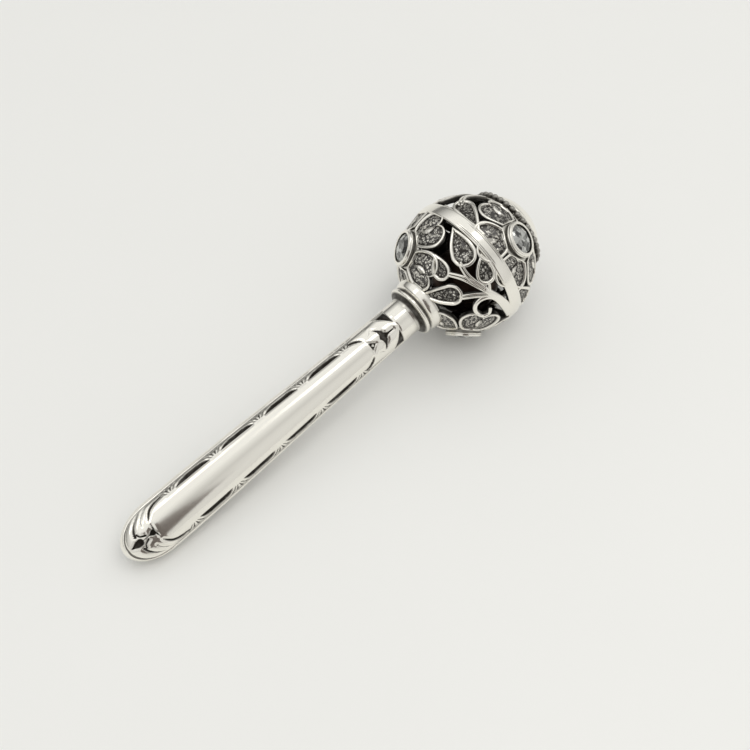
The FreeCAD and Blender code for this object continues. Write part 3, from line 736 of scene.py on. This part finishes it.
class RATTLE_OT_flowers(bpy.types.Operator):
    """Four cast flowers of heart-shaped petals, each round a plain boss"""
    bl_idname = "rattle.flowers"
    bl_label = "Flowers"

    def execute(self, context):
        sizes = context.scene.rattle_flower
        hole, rim = sizes.stone_radius + sizes.bezel_wall - 0.2, sizes.boss_radius
        reach, height = np.array([(hole, -1.1), (hole, -0.5), (hole + 0.1, -0.32), (hole + 0.5, -0.30),
                                  (rim - 0.4, -0.34), (rim - 0.1, -0.42), (rim, -0.6), (rim, -1.1),
                                  (hole, -1.1)]).T[..., None]
        turn = np.arange(96) * 360.0 / 96
        for side, name, centre, first, copy in flower_places():
            body = Body(f"flower_{side}_{name}")
            for k in range(sizes.petal_count):
                bearing = first + 360.0 * k / sizes.petal_count
                plane = plane_at(away(centre, bearing, sizes.petal_angle),
                                 away(centre, bearing, sizes.petal_angle + 30))
                plate(body, plane, petal_outline(), PETAL_SPINE, petal_detail, (copy,), sizes.petal_lift)
            boss = lifted(plane_at(direction(centre), X_WAY), reach * cos(turn), reach * sin(turn), height)
            body.grid(copy(boss), np.array(BOSS_DARK)[:, None])
            body.make("rattle", "silver", silver(), f"{side}_flower_{name}")
        return {"FINISHED"}


class RATTLE_OT_bezels(bpy.types.Operator):
    """Four collets with their edges folded over the stones"""
    bl_idname = "rattle.bezels"
    bl_label = "Bezels"

    def execute(self, context):
        globe, sizes = context.scene.rattle_globe, context.scene.rattle_flower
        skin, under = globe.radius, globe.radius - globe.wall
        top = skin + sizes.bezel_height
        girdle = top + sizes.stone_proud - sizes.crown_height
        inner, seat = sizes.stone_radius, sizes.stone_radius - sizes.bezel_ledge
        outer = inner + sizes.bezel_wall
        outline = rounded_corners([
            (under, outer, 0.1), (skin - 0.25, outer, 0.1), (skin - 0.02, outer + 0.16, 0.12),
            (skin + 0.16, outer, 0.1), (top, outer - 0.02, 0.3),
            (top + 0.02, inner - sizes.bezel_lip + 0.1, 0.2), (girdle + 0.12, inner, 0.05),
            (girdle - 0.1, inner, 0.05), (girdle - 0.4, seat, 0.1), (under, seat, 0.1)], 7)
        height, reach = outline.T
        foot = 0.75 * (1 - smooth(skin - 0.25, skin + 0.05, height)) + 0.55 * bump(height - skin - 0.18, 0.12)
        patina = np.where(reach > inner + 0.02, foot, 0.8 * (1 - smooth(girdle, top - 0.05, height)))
        for side, name, centre, _, copy in flower_places():
            body = Body(f"bezel_{side}_{name}")
            turned(body, outline, 160, patina, copy(plane_at(direction(centre), X_WAY)))
            body.make("rattle", "silver", silver(), f"{side}_bezel_{name}")
        return {"FINISHED"}


def leaf(body, base, tip, radius_angle, contour):
    """One leaf in relief, from the middle of its round end towards its point, and its half turn.

    Past the round end the half width is radius 0.95 (1 - t^1.35) at a share t of the way to the point.
    contour is the strength of a second line inside the rim.
    """
    sizes = bpy.context.scene.rattle_globe
    plane = plane_at(direction(base), direction(tip))
    reach = flat(plane, tip)[0]
    radius = sizes.radius * sin(radius_angle)
    side = [(-0.72 * radius, 0.70 * radius), (-0.1 * radius, 1.0 * radius), (0.45 * radius, 0.95 * radius)]
    side += [(radius * 0.45 + (reach - radius * 0.45) * t, radius * 0.95 * (1 - t ** 1.35))
             for t in (0.28, 0.5, 0.72, 0.9)]
    points = [(-radius, 0.0), *side, (reach, 0.0), *((x, -y) for x, y in side[::-1])]
    inner = 2.15 * sizes.rim

    def detail(x, y, inset):
        line = contour * bump(inset - inner, 0.24)
        foot = contour * bump(inset - inner - 0.26, 0.2)
        return 0.30 * line, 0.8 * foot, 1.0 - line

    outline = through(points, 170, True, (len(side) + 1,))
    plate(body, plane, outline, (-0.2 * radius, reach - 1.5), detail, BOTH)


def stem(body, start, middle, end, width, ridges, taper=(1.0, 0.0), lift=0.0):
    """A stem on the globe through three places, on a smooth curve in the plane that faces its middle."""
    plane = plane_at(direction(middle), direction(end))
    path = through([flat(plane, place) for place in (start, middle, end)], 48, False)
    sweep(body, plane, path, width, ridges, taper, lift)


def ring(body, edges, rounding, patina):
    """A cast ring from its (latitude, distance) corners, dark inside; patina(latitude) is its outside's."""
    outline = rounded(lat_profile(edges), rounding, 5)
    inside = np.hypot(*outline.T) < bpy.context.scene.rattle_globe.radius - DARK_DEPTH
    latitude = np.degrees(np.arctan2(*outline.T))
    turned(body, outline, 192, np.where(inside, 0.85, patina(latitude)))


# places of each half's leaves: middle of the round end, point, the round end's angular radius, inner line
NEAR_LEAVES = (
    ((-17.6, -23.0), (-7.4, -47.5), 10.6, 0.0), ((-13.6, 2.2), (-6.6, -15.0), 8.4, 0.9),
    ((-40.6, -26.8), (-33.0, -44.0), 8.0, 0.0), ((-46.6, 1.5), (-73.0, -38.0), 9.6, 0.8))
FAR_LEAVES = (
    ((15.0, -58.0), (3.2, -26.0), 9.4, 0.0), ((15.0, 58.0), (3.2, 26.0), 9.4, 0.0),
    ((17.0, -90.0), (52.0, -90.0), 9.0, 0.8))
# and of its stems: start, middle, end, width, ridges, taper, lift
NEAR_STEMS = (
    ((-37.5, -19.5), (-29.5, -6.0), (-19.0, 15.0), 1.3, 2, (0.8, 0.3)),
    ((-24.6, -20.5), (-26.0, -5.0), (-19.5, 14.5), 1.25, 2, (0.8, 0.3), 0.03),
    ((-41.5, 8.0), (-30.0, 13.0), (-18.5, 19.5), 1.25, 2),
    ((-17.2, 9.6), (-18.2, 12.2), (-19.5, 15.5), 1.7, 2, (1.0, 0.0), 0.02),
    ((-20.0, 13.5), (-12.5, 31.0), (-4.0, 57.0), 2.3, 1, (0.55, 0.6), 0.08),
    ((-18.5, 21.5), (-11.5, 36.0), (-3.5, 57.0), 1.1, 1, (1.0, 0.0), -0.02))
FAR_STEMS = (
    ((6.2, -72.0), (5.0, -56.0), (6.4, -24.0), 0.8, 1, (1.1, -0.5), -0.05),
    ((14.0, -61.0), (28.0, -72.0), (52.0, -75.0), 1.3, 2),
    ((14.0, -119.0), (28.0, -108.0), (52.0, -105.0), 1.3, 2),
    ((4.0, -90.0), (8.0, -90.2), (12.0, -90.0), 1.7, 2))
SCROLL = ((-14.5, 28.0), (-19.3, 22.0), (-26.6, 19.8), (-33.0, 23.6), (-34.8, 32.0), (-30.8, 40.2),
          (-24.9, 39.8), (-22.6, 33.4))
SCROLL_MIDDLE = (-28.0, 31.0)
NEAR_RING_HOLE = 12.8   # angular radius of the hole in the ring at the collar


class RATTLE_OT_near_tracery(bpy.types.Operator):
    """Leaf spray, stems, scroll and ring of the half next to the collar"""
    bl_idname = "rattle.near_tracery"
    bl_label = "Near tracery"

    def execute(self, context):
        sizes = context.scene.rattle_globe
        skin, inner = sizes.radius, sizes.radius - sizes.wall
        body = Body("tracery_near")
        for places in NEAR_LEAVES:
            leaf(body, *places)
        for places in NEAR_STEMS:
            stem(body, *places)
        plane = plane_at(direction(SCROLL_MIDDLE), X_WAY)
        path = through([flat(plane, place) for place in SCROLL], 110, False)
        sweep(body, plane, path, 1.15, 1, (1.0, -0.3), 0.03)
        low, high = NEAR_RING_HOLE - 90.0, sizes.near_ring_angle - 90.0
        edges = [(low, inner), (low, skin - 0.1), (high - 0.9, skin - 0.02), (high, skin - 0.3),
                 (high, inner)]
        ring(body, edges, 0.25, lambda latitude: 0.25)
        body.make("rattle", "silver", silver(), "near_tracery")
        return {"FINISHED"}


class RATTLE_OT_far_tracery(bpy.types.Operator):
    """Leaves, stems and ring of the half under the cap"""
    bl_idname = "rattle.far_tracery"
    bl_label = "Far tracery"

    def execute(self, context):
        sizes = context.scene.rattle_globe
        skin, inner = sizes.radius, sizes.radius - sizes.wall
        body = Body("tracery_far")
        for places in FAR_LEAVES:
            leaf(body, *places)
        for places in FAR_STEMS:
            stem(body, *places)
        low, high = 90.0 - sizes.far_ring_angle, 90.0 - sizes.far_ring_inner_angle
        edges = [(high, inner), (high, skin - 0.05), (low + 0.8, skin - 0.02), (low, skin - 0.3),
                 (low, inner)]
        ring(body, edges, 0.22, lambda latitude: 0.9 * smooth(low + 1.5, low + 2.6, latitude))
        body.make("rattle", "silver", silver(), "far_tracery")
        return {"FINISHED"}


class RATTLE_OT_cap(bpy.types.Operator):
    """Domed cap over the far pole, with a rolled edge"""
    bl_idname = "rattle.cap"
    bl_label = "Cap"

    def execute(self, context):
        sizes = context.scene.rattle_globe
        edge_x, edge_r = sizes.radius * cos(sizes.cap_angle), sizes.radius * sin(sizes.cap_angle)
        top = sizes.radius + sizes.cap_rise
        shoulder = edge_x + sizes.cap_rise * 0.5
        # the dome's arc goes through its top and its shoulder
        middle = (top ** 2 - shoulder ** 2 - edge_r ** 2) / (2 * (top - shoulder))
        dome = top - middle
        spread = np.degrees(np.arcsin(edge_r / dome))

        def arc(radius, turn, centre=(middle, 0.0)):
            return np.stack([centre[0] + radius * cos(turn), centre[1] + radius * sin(turn)], axis=-1)

        roll = 0.24
        outside = arc(dome, np.linspace(0, 1, 40) * spread * 0.965)
        rolled = arc(roll, np.linspace(20, 170, 10), (shoulder - 0.12 - roll, edge_r - 0.10))
        foot = [[edge_x - 0.25, edge_r - 0.02], [edge_x - 0.5, edge_r - 0.3]]
        inside = arc(dome - sizes.cap_wall, np.linspace(1, 0, 24) * spread * 0.94)
        patina = np.concatenate([np.zeros(len(outside)), np.linspace(0, 0.4, len(rolled)), [0.8, 0.9],
                                 np.full(len(inside), 0.9)])
        body = Body("cap_domed")
        turned(body, np.concatenate([outside, rolled, foot, inside]), 224, patina)
        body.make("rattle", "silver", silver(), "pole_cap")
        return {"FINISHED"}


class RATTLE_OT_beads(bpy.types.Operator):
    """Row of beads round the cap, each darkened at its foot"""
    bl_idname = "rattle.beads"
    bl_label = "Beads"

    def execute(self, context):
        sizes = context.scene.rattle_globe
        turn, around = np.linspace(0, 180, 15)[:, None], np.arange(24) * 15.0
        ball = np.stack([sin(turn) * cos(around), sin(turn) * sin(around), cos(turn) + 0 * around], axis=-1)
        patina = 0.95 * (1 - 0.36 * smooth(-0.2, 0.8, cos(turn)))
        height = sizes.radius + sizes.bead_radius - sizes.bead_sunk
        body = Body("cap_beads")
        for k in range(sizes.bead_count):
            plane = plane_at(direction((90.0 - sizes.bead_ring_angle, 360.0 * k / sizes.bead_count)), X_WAY)
            body.grid(ball * sizes.bead_radius @ plane + plane[2] * height, patina)
        body.make("rattle", "silver", silver(), "pole_beads")
        return {"FINISHED"}


# ---- collar, flange and handle ----------------------------------------------------------------------------
class RATTLE_OT_collar(bpy.types.Operator):
    """Rounded collar under the globe, and the bevelled flange at the top of the handle"""
    bl_idname = "rattle.collar"
    bl_label = "Collar and flange"

    def execute(self, context):
        globe, sizes = context.scene.rattle_globe, context.scene.rattle_handle
        self.collar(globe.radius - globe.wall, -(globe.radius + sizes.collar_length), sizes)
        self.flange(-(globe.radius + sizes.collar_length), sizes)
        return {"FINISHED"}

    def collar(self, inner, foot, sizes):
        """A ring that swells from the flange to the globe; its corners are (along, radius, rounding)."""
        small, full, bore = sizes.collar_small_radius + 0.3, sizes.collar_radius + 0.65, sizes.tang_radius
        outline = rounded_corners([
            (foot, bore, 0.1), (foot, small, 0.1), (foot + 0.25, small, 0.15), (foot + 0.7, full - 0.1, 0.5),
            (foot + 2.0, full + 0.15, 0.6), (foot + 2.9, full + 0.1, 0.3), (-inner * 0.9, full - 0.8, 0.2),
            (-inner * 0.86, bore, 0.1)])
        along, radius = outline.T
        patina = np.maximum(0.9 * (1 - smooth(small, small + 0.3, radius)),
                            0.5 * smooth(foot + 1.9, foot + 2.6, along))
        body = Body("collar_rounded")
        turned(body, outline, 224, patina)
        body.make("rattle", "silver", silver(), "neck_collar")

    def flange(self, face, sizes):
        """A disc with a sleeve that flares from the neck, dark in the flare."""
        back, bore = face - sizes.flange_thickness, sizes.tang_radius
        rim, neck = sizes.flange_radius, sizes.neck_half_width
        outline = rounded_corners([
            (back - 1.7, bore, 0.05), (back - 1.7, neck - 0.05, 0.05), (back - 1.0, neck + 0.1, 0.3),
            (back - 0.4, neck + 0.6, 0.6), (back - 0.12, rim - 0.2, 0.12), (back + 0.05, rim, 0.12),
            (face - 0.45, rim, 0.15), (face - 0.2, rim - 0.3, 0.15), (face, rim - 0.6, 0.1),
            (face, bore, 0.05)])
        along, radius = outline.T
        flare = along < back + 0.02
        dark = 0.95 * smooth(neck - 0.05, neck + 0.2, radius) * (1 - smooth(rim - 0.45, rim - 0.25, radius))
        body = Body("flange_bevelled")
        turned(body, outline, 224, flare * np.maximum(dark, 0.35 * (radius < rim - 0.3)))
        body.make("rattle", "silver", silver(), "neck_flange")


def handle_size(distance):
    """(half width, half thickness): half a cosine wave from neck to butt, then an ellipse to the tip."""
    sizes, globe = bpy.context.scene.rattle_handle, bpy.context.scene.rattle_globe
    neck = globe.radius + sizes.collar_length + sizes.flange_thickness
    grow = (1 - cos(180 * np.clip((distance - neck) / (sizes.butt_distance - neck), 0, 1))) / 2
    along = np.clip((distance - sizes.butt_distance) / (sizes.end - sizes.butt_distance), 0, 1)
    close = np.sqrt(1 - along * along)
    ends = ((sizes.neck_half_width, sizes.butt_half_width),
            (sizes.neck_half_thickness, sizes.butt_half_thickness))
    return tuple((small + (large - small) * grow) * close for small, large in ends)


# The chasing is drawn on the unrolled shell by (distance from the globe's centre, side place), both in mm.
# The side place is the arc from the panel's middle, and each cut is mirrored. FAR is outside every cut.
FAR = -9.0
ARC_BEARING = 48.0      # the border's bearing for which the cuts below that go by bearing were drawn
DRAWN_NECK, DRAWN_BUTT = 33.7, 80.3     # and the distances of the first and last tuft
# by bearing: points of (distance, degrees from the panel's middle), widths along them, strength, nearest end
TURNS = (
    (((33.0, 44), (31.9, 47), (30.8, 40), (30.1, 33), (29.7, 27)), (0.1, 0.75, 0.75, 0.45, 0.1), 1.0, "neck"),
    (((82.1, 50), (84.0, 49), (85.6, 42), (86.6, 32), (87.3, 22)), (0.35, 0.75, 0.65, 0.5, 0.1), 1.0, "butt"),
    (((91.2, 18), (90.8, 30), (89.8, 43), (88.2, 54)), (0.6, 0.5, 0.3, 0.05), 0.95, "butt"),
    (((88.9, 25), (88.5, 34), (87.6, 44), (86.3, 53)), (0.15, 0.22, 0.18, 0.05), 0.7, "butt"),
    (((89.4, 5), (90.4, 11), (90.7, 19)), (0.5, 0.35, 0.5), 1.0, "butt"),
)
# by side place: dark triangles in the butt's shell, then the stalk, side points and veins of the neck's bud
STROKES = (
    (((93.2, 0), (92.4, 0), (91.6, 0), (91.1, 0)), (0.1, 0.75, 1.5, 1.6), 1.0),
    (((89.0, 0), (88.5, 0), (88.0, 0)), (0.15, 0.7, 1.3), 1.0),
    (((87.6, 0.2), (87.5, 0.7), (87.3, 1.3)), (0.5, 0.4, 0.1), 1.0),
    (((88.8, 0.0), (90.0, 0.0), (91.2, 0.0)), (0.3, 0.16, 0.5), 0.9),
    (((25.4, 0.0), (24.4, 0.0), (23.4, 0.0)), (0.9, 0.42, 0.36), 1.0),
    (((26.0, 0.9), (26.4, 1.8), (27.1, 2.8)), (1.1, 0.5, 0.05), 1.0),
    (((28.6, 2.2), (27.9, 2.6), (27.4, 3.2)), (0.05, 0.16, 0.05), 0.5),
)
BUD_SPADE = ((24.6, -0.05), (26.2, -1.45), (27.0, -0.05), (27.0, 0.05), (26.2, 1.45), (24.6, 0.05))
BUD_SIDE = ((22.25, 0.9), (24.3, 3.9), (24.9, 5.0), (22.25, 5.0))
BUD_HOLE = ((29.6, -1.0), (29.6, 1.0), (28.2, 0.02), (28.2, -0.02))
BUD_PIN = (29.05, 0.24)     # distance and radius of the pin left standing in the bud's hole
# the groove between the border and the plain outer rim, by bearing; it runs round the butt
RIM_GROOVE = ((23.0, 66.5), (40.0, 66.5), (62.0, 66.5), (84.0, 66.5), (89.5, 66), (92.0, 60), (93.2, 44),
              (93.75, 20), (93.8, 0))


def ribbon(x, y, points, widths, samples=48):
    """Depth into a ribbon of changing width along a smooth line: half its width less the distance from it.

    The line is sampled, and for each sample the depth is half width less distance; the greatest is kept.
    """
    line = through(points, samples, False)
    half = np.interp(np.linspace(0, 1, samples), np.linspace(0, 1, len(widths)), widths) / 2
    depth = np.full(x.shape, FAR)
    for (px, py), reach in zip(line, half):
        depth = np.maximum(depth, reach - np.hypot(x - px, y - py))
    return depth


def wedge(x, y, corners):
    """Depth into a convex polygon, corners in anticlockwise order: the least distance inside its sides."""
    depth = np.full(x.shape, -FAR)
    for (ax, ay), (bx, by) in zip(corners, corners[1:] + corners[:1]):
        size = np.hypot(bx - ax, by - ay)
        depth = np.minimum(depth, ((bx - ax) * (y - ay) - (by - ay) * (x - ax)) / size)
    return depth


def side_place(distance, degrees):
    """Arc in mm from the panel's middle to a bearing, on the mean of the shell's two half sizes there."""
    return np.radians(degrees) * sum(handle_size(np.asarray(distance, float))) / 2


def slot_depth(distance, q, border):
    """Depth into the long slots between the tufts, each a flat-ended lens below the border's line."""
    sizes = bpy.context.scene.rattle_handle
    phase = (distance - sizes.first_tuft) / sizes.tuft_pitch
    t = (phase - np.floor(phase)) * sizes.tuft_pitch
    s = np.clip((t - 1.4) / (sizes.tuft_pitch - 2.8), -0.1, 1.1)
    reach = np.clip(1 - np.abs(2 * s - 1) ** 4, -1, 1)
    across = q - border + sizes.slot_width / 2
    slot = np.minimum.reduce([sizes.slot_width * reach - across, across, reach])
    return np.where((phase > 0) & (phase < sizes.slot_count) & (reach > 0), slot, FAR)


def tuft_depth(distance, q, border):
    """Depth into the gaps between the leaflets that fan out from the panel at each tuft."""
    sizes = bpy.context.scene.rattle_handle
    nearest = np.clip(np.round((distance - sizes.first_tuft) / sizes.tuft_pitch), 0, sizes.slot_count)
    u = distance - (sizes.first_tuft + nearest * sizes.tuft_pitch)
    along = (q - border + 0.55) / 1.5
    gap = 0.07 + 0.24 * np.clip(along, 0, 1)
    spread = 0.42 + 0.95 * np.clip(along, 0, 1.2)
    return np.maximum.reduce([np.minimum.reduce([gap - np.abs(u - lean * spread), along, 1 - along])
                              for lean in (-1.5, -0.5, 0.5, 1.5)])


def cuts(distance, q, border):
    """(depth inside its outline, strength) of each cut of the border."""
    sizes = bpy.context.scene.rattle_handle
    yield slot_depth(distance, q, border), 1.0
    yield tuft_depth(distance, q, border), 0.85
    shifts = {"neck": sizes.first_tuft - DRAWN_NECK,
              "butt": sizes.first_tuft + sizes.tuft_pitch * sizes.slot_count - DRAWN_BUTT}
    for points, widths, strength, nearest in TURNS:
        shifted = [(d + shifts[nearest], degrees * sizes.border_bearing / ARC_BEARING)
                   for d, degrees in points]
        yield ribbon(distance, q, [(d, side_place(d, degrees)) for d, degrees in shifted], widths), strength
    for points, widths, strength in STROKES:
        yield ribbon(distance, q, points, widths), strength
    pin, radius = BUD_PIN
    yield np.minimum(wedge(distance, q, BUD_HOLE), np.hypot(distance - pin, q) - radius), 1.0
    yield wedge(distance, q, BUD_SPADE), 1.0
    yield wedge(distance, q, BUD_SIDE), 1.0


def chasing(distance, bearing):
    """(depth, patina) of the chased border on a shell, by distance and by bearing from the panel's middle.

    A cut's wall rises over about 0.1 mm inside its outline, and the metal beside it rolls over softly across
    0.6 mm.
    """
    sizes = bpy.context.scene.rattle_handle
    mean = np.maximum(sum(handle_size(distance)) / 2, 0.4)
    q = np.abs(np.radians(bearing) * mean)
    border = np.radians(sizes.border_bearing) * mean
    depth, patina = np.zeros(distance.shape), np.zeros(distance.shape)
    for inside, strength in cuts(distance, q, border):
        roll = 0.30 * (1 - smooth(0.0, 0.6, -inside)) * (inside < 0)
        depth = np.maximum(depth, strength * np.maximum(smooth(-0.02, 0.12, inside), roll))
        patina = np.maximum(patina, strength * smooth(-0.03, 0.07, inside))
    edge = [(d, side_place(d, degrees)) for d, degrees in RIM_GROOVE]
    groove = ribbon(distance, q, edge, (0.1, *[0.3] * (len(edge) - 1)), 420)
    # the border's ground, a little greyed between the groove and the slots
    ground = smooth(0.0, 0.5, q - border) * (1 - smooth(0.0, 0.3, q - np.radians(65.5) * mean))
    ground = ground * smooth(25.0, 31.0, distance) * (1 - smooth(83.0, 88.0, distance))
    # grime where the neck is soldered to the flange
    grime = 0.6 * (1 - smooth(17.2, 19.6, distance))
    return (np.maximum.reduce([depth, 0.55 * smooth(-0.2, 0.12, groove), 0.35 * ground]),
            np.maximum.reduce([patina, 0.85 * smooth(-0.08, 0.1, groove), 0.34 * ground, grime]))


class RATTLE_OT_handle(bpy.types.Operator):
    """Front and back shells of the handle, with their chased borders"""
    bl_idname = "rattle.handle"
    bl_label = "Handle"

    def execute(self, context):
        globe, sizes = context.scene.rattle_globe, context.scene.rattle_handle
        neck = globe.radius + sizes.collar_length + sizes.flange_thickness
        # rows are even from the neck to the widest place, then closer together as the tip rounds off
        distance = np.concatenate([neck + (sizes.butt_distance - neck) * np.linspace(0, 1, 521),
                                   sizes.butt_distance + (sizes.end - sizes.butt_distance)
                                   * sin(np.linspace(0, 90, 81))[1:]])[:, None]
        turn = np.linspace(0, 180, 141) + 0 * distance
        distance = distance + 0 * turn
        half_width, half_thickness = handle_size(distance)
        cut, patina = chasing(distance, turn - 90.0 + sizes.panel_turn)
        normal = unit(np.stack([0 * turn, cos(turn) / np.maximum(half_width, 0.3),
                                sin(turn) / np.maximum(half_thickness, 0.3)], axis=-1))
        fade = smooth(0.0, 0.1, sin(turn)) * np.clip(sizes.end - distance, 0, 1)
        outer = np.stack([-distance, half_width * cos(turn), half_thickness * sin(turn)], axis=-1)
        floor = (outer * [1.0, 1.0, 0.0])[:, -2:0:-20]
        points = np.concatenate([outer - normal * (sizes.relief * cut * fade)[..., None], floor], axis=1)
        patina = np.concatenate([patina, np.full(floor.shape[:2], 0.9)], axis=1)
        start = np.broadcast_to([-neck, 0.0, 0.0], points[:1].shape)
        for name, copy in zip(("front", "back"), BOTH):
            body = Body(f"handle_{name}")
            body.grid(copy(np.concatenate([start, points])), np.concatenate([patina[:1] * 0 + 0.9, patina]))
            body.make("rattle", "silver", silver(), f"handle_{name}_shell")
        return {"FINISHED"}


# ---- carried-over solids ----------------------------------------------------------------------------------
class RATTLE_OT_solids(bpy.types.Operator):
    """Finishes of the solids that keep their own shape: stones, bell, pellet and tang"""
    bl_idname = "rattle.solids"
    bl_label = "Stones and bell"

    def execute(self, context):
        stones = tuple(name for name in frame["nodes"] if "_stone_" in name)
        shells = ("bell_upper_shell", "bell_lower_shell")
        for make, nodes in ((tang_finish, ("handle_tang",)), (brass_finish, shells),
                            (steel_finish, ("bell_pellet",)), (stone_finish, stones)):
            material = make()
            for name in nodes:
                for slot in frame["nodes"][name].material_slots:
                    slot.material = material
        return {"FINISHED"}


# ---- stage ------------------------------------------------------------------------------------------------
FLOOR = ((-3, -3, 0), (3, -3, 0), (3, 3, 0), (-3, 3, 0))
CARD = ((-0.008, -0.33, 0.19), (-0.10, -0.33, 0.78), (-0.35, -0.33, 0.92), (-0.35, -0.33, 0.0),
        (-0.062, -0.33, 0.0))
LAMP_COLOUR = (1.0, 0.985, 0.95)
# name, place and size in metres, watts, and the kinds of ray that pass it by
LAMPS = (
    ("ceiling_lamp", (0.45, -0.03, 0.75), (0.8, 0.20), 0.55, ()),
    ("window_lamp", (-0.30, 0.33, 0.72), (0.7, 0.18), 0.34, ("visible_diffuse",)),
    ("fill_lamp", (0.05, -0.28, 0.80), (0.8, 0.5), 1.1, ("visible_glossy",)),
)


def placed(name, data, axes, place):
    """A new object with given axes, as rows, at a place in metres."""
    thing = bpy.data.objects.new(name, data)
    thing.matrix_world = Matrix.LocRotScale(Vector(place), Matrix(np.transpose(axes).tolist()), None)
    bpy.context.scene.collection.objects.link(thing)
    return thing


def sheet(name, corners, material):
    """A flat sheet from its corners, in metres."""
    mesh = bpy.data.meshes.new(name)
    mesh.from_pydata(corners, [], [range(len(corners))])
    mesh.materials.append(material)
    thing = placed(name, mesh, np.eye(3), (0, 0, 0))
    return thing


class RATTLE_OT_stage(bpy.types.Operator):
    """Table top, soft lamps, a card for the silver to mirror, and the camera"""
    bl_idname = "rattle.stage"
    bl_label = "Stage"

    def execute(self, context):
        scene, look = context.scene, context.scene.rattle_stage
        table = Finish("table_pale")
        cloud = table.noise(40.0, 2.0, 0.5)
        sheet("floor", FLOOR, table.surface(
            Base_Color=table.mix(cloud, look.floor, darker(look.floor, 0.985)),
            Roughness=0.32 + 0.05 * cloud))
        dull = Finish("card_brown")
        shade = dull.noise(90.0, 2.0, 0.5)
        card = sheet("reflection_card", CARD, dull.surface(
            Base_Color=dull.mix(shade, look.card, darker(look.card, 0.8)), Roughness=0.8))
        card.visible_camera = card.visible_shadow = card.visible_diffuse = False
        self.room(scene, look)
        for lamp in LAMPS:
            self.lamp(*lamp)
        self.camera(scene, look)
        scene.view_settings.view_transform = "Standard"
        return {"FINISHED"}

    def room(self, scene, look):
        """Pale room: bright overhead, dark along the far side, and greyer from behind the camera."""
        scene.world = bpy.data.worlds.new("soft_room")
        scene.world.use_nodes = True
        nodes = Nodes(scene.world.node_tree)
        way = nodes.node("TexCoord", output="Generated")
        y, z = (nodes.node("SeparateXYZ", sockets={"Vector": way}, output=axis) for axis in "YZ")
        along_table = nodes.mix((y * 1.25 + 0.4).clamped(), look.horizon_near, look.horizon_far)
        glow = nodes.mix((z * 2.0 - 0.30).clamped(), along_table, look.ceiling)
        glow = nodes.mix((1.0 - (y + 0.62).absolute() * 2.0).clamped() * 0.85, glow, look.near_side)
        nodes.end(nodes.node("Background", sockets={"Color": glow, "Strength": 1.0}), "OutputWorld")

    def lamp(self, name, place, size, power, unseen_by):
        """A soft oblong lamp that faces the rattle, its long side along X."""
        light = bpy.data.lights.new(name, "AREA")
        light.shape, light.size, light.size_y, light.energy = "RECTANGLE", *size, power
        light.color = LAMP_COLOUR
        back = unit(place)
        side = unit(np.cross((0.0, 1.0, 0.0), back))
        lamp = placed(name, light, (side, np.cross(back, side), back), place)
        for rays in unseen_by:
            setattr(lamp, rays, False)

    def camera(self, scene, look):
        """The camera circles the middle of the globe's half of the rattle, then slides in its picture."""
        a, e = look.azimuth, look.elevation
        forward = np.array([-sin(a) * cos(e), cos(a) * cos(e), -sin(e)])
        right = np.array([cos(a), sin(a), 0.0])
        up = np.cross(right, forward)
        centre = np.array(ROLL_JOINT["pos_m"]) * (0.5, 1.0, 1.0)
        place = centre + (-forward * look.distance + right * look.slide_right + up * look.slide_up) / 1000.0
        data = bpy.data.cameras.new("camera")
        data.lens, data.sensor_width = look.lens, 36.0
        data.clip_start, data.clip_end = 0.01, 20.0
        scene.camera = placed("camera", data, (right, up, -forward), place)


# ---- panel and registration -------------------------------------------------------------------------------
BUILD = (RATTLE_OT_band, RATTLE_OT_flowers, RATTLE_OT_bezels, RATTLE_OT_near_tracery, RATTLE_OT_far_tracery,
         RATTLE_OT_cap, RATTLE_OT_beads, RATTLE_OT_collar, RATTLE_OT_handle, RATTLE_OT_solids,
         RATTLE_OT_stage)
GROUPS = {"rattle_globe": RATTLE_PG_globe, "rattle_flower": RATTLE_PG_flower,
          "rattle_handle": RATTLE_PG_handle, "rattle_finish": RATTLE_PG_finish,
          "rattle_stage": RATTLE_PG_stage}


class RATTLE_PT_panel(bpy.types.Panel):
    """Sizes, colours and builders of the rattle"""
    bl_idname = "RATTLE_PT_panel"
    bl_label = "Silver rattle"
    bl_space_type = "VIEW_3D"
    bl_region_type = "UI"
    bl_category = "Rattle"

    def draw(self, context):
        for operator in BUILD:
            self.layout.operator(operator.bl_idname)
        for name, group in GROUPS.items():
            box = self.layout.box()
            for key in group.__annotations__:
                box.prop(getattr(context.scene, name), key)


CLASSES = (*GROUPS.values(), *BUILD, RATTLE_PT_panel)


def register():
    for cls in CLASSES:
        bpy.utils.register_class(cls)
    for name, group in GROUPS.items():
        setattr(bpy.types.Scene, name, PointerProperty(type=group))


def unregister():
    for name in GROUPS:
        delattr(bpy.types.Scene, name)
    for cls in reversed(CLASSES):
        bpy.utils.unregister_class(cls)


def main():
    register()
    for operator in BUILD:
        group, name = operator.bl_idname.split(".")
        getattr(getattr(bpy.ops, group), name)()


if __name__ == "__main__":
    main()
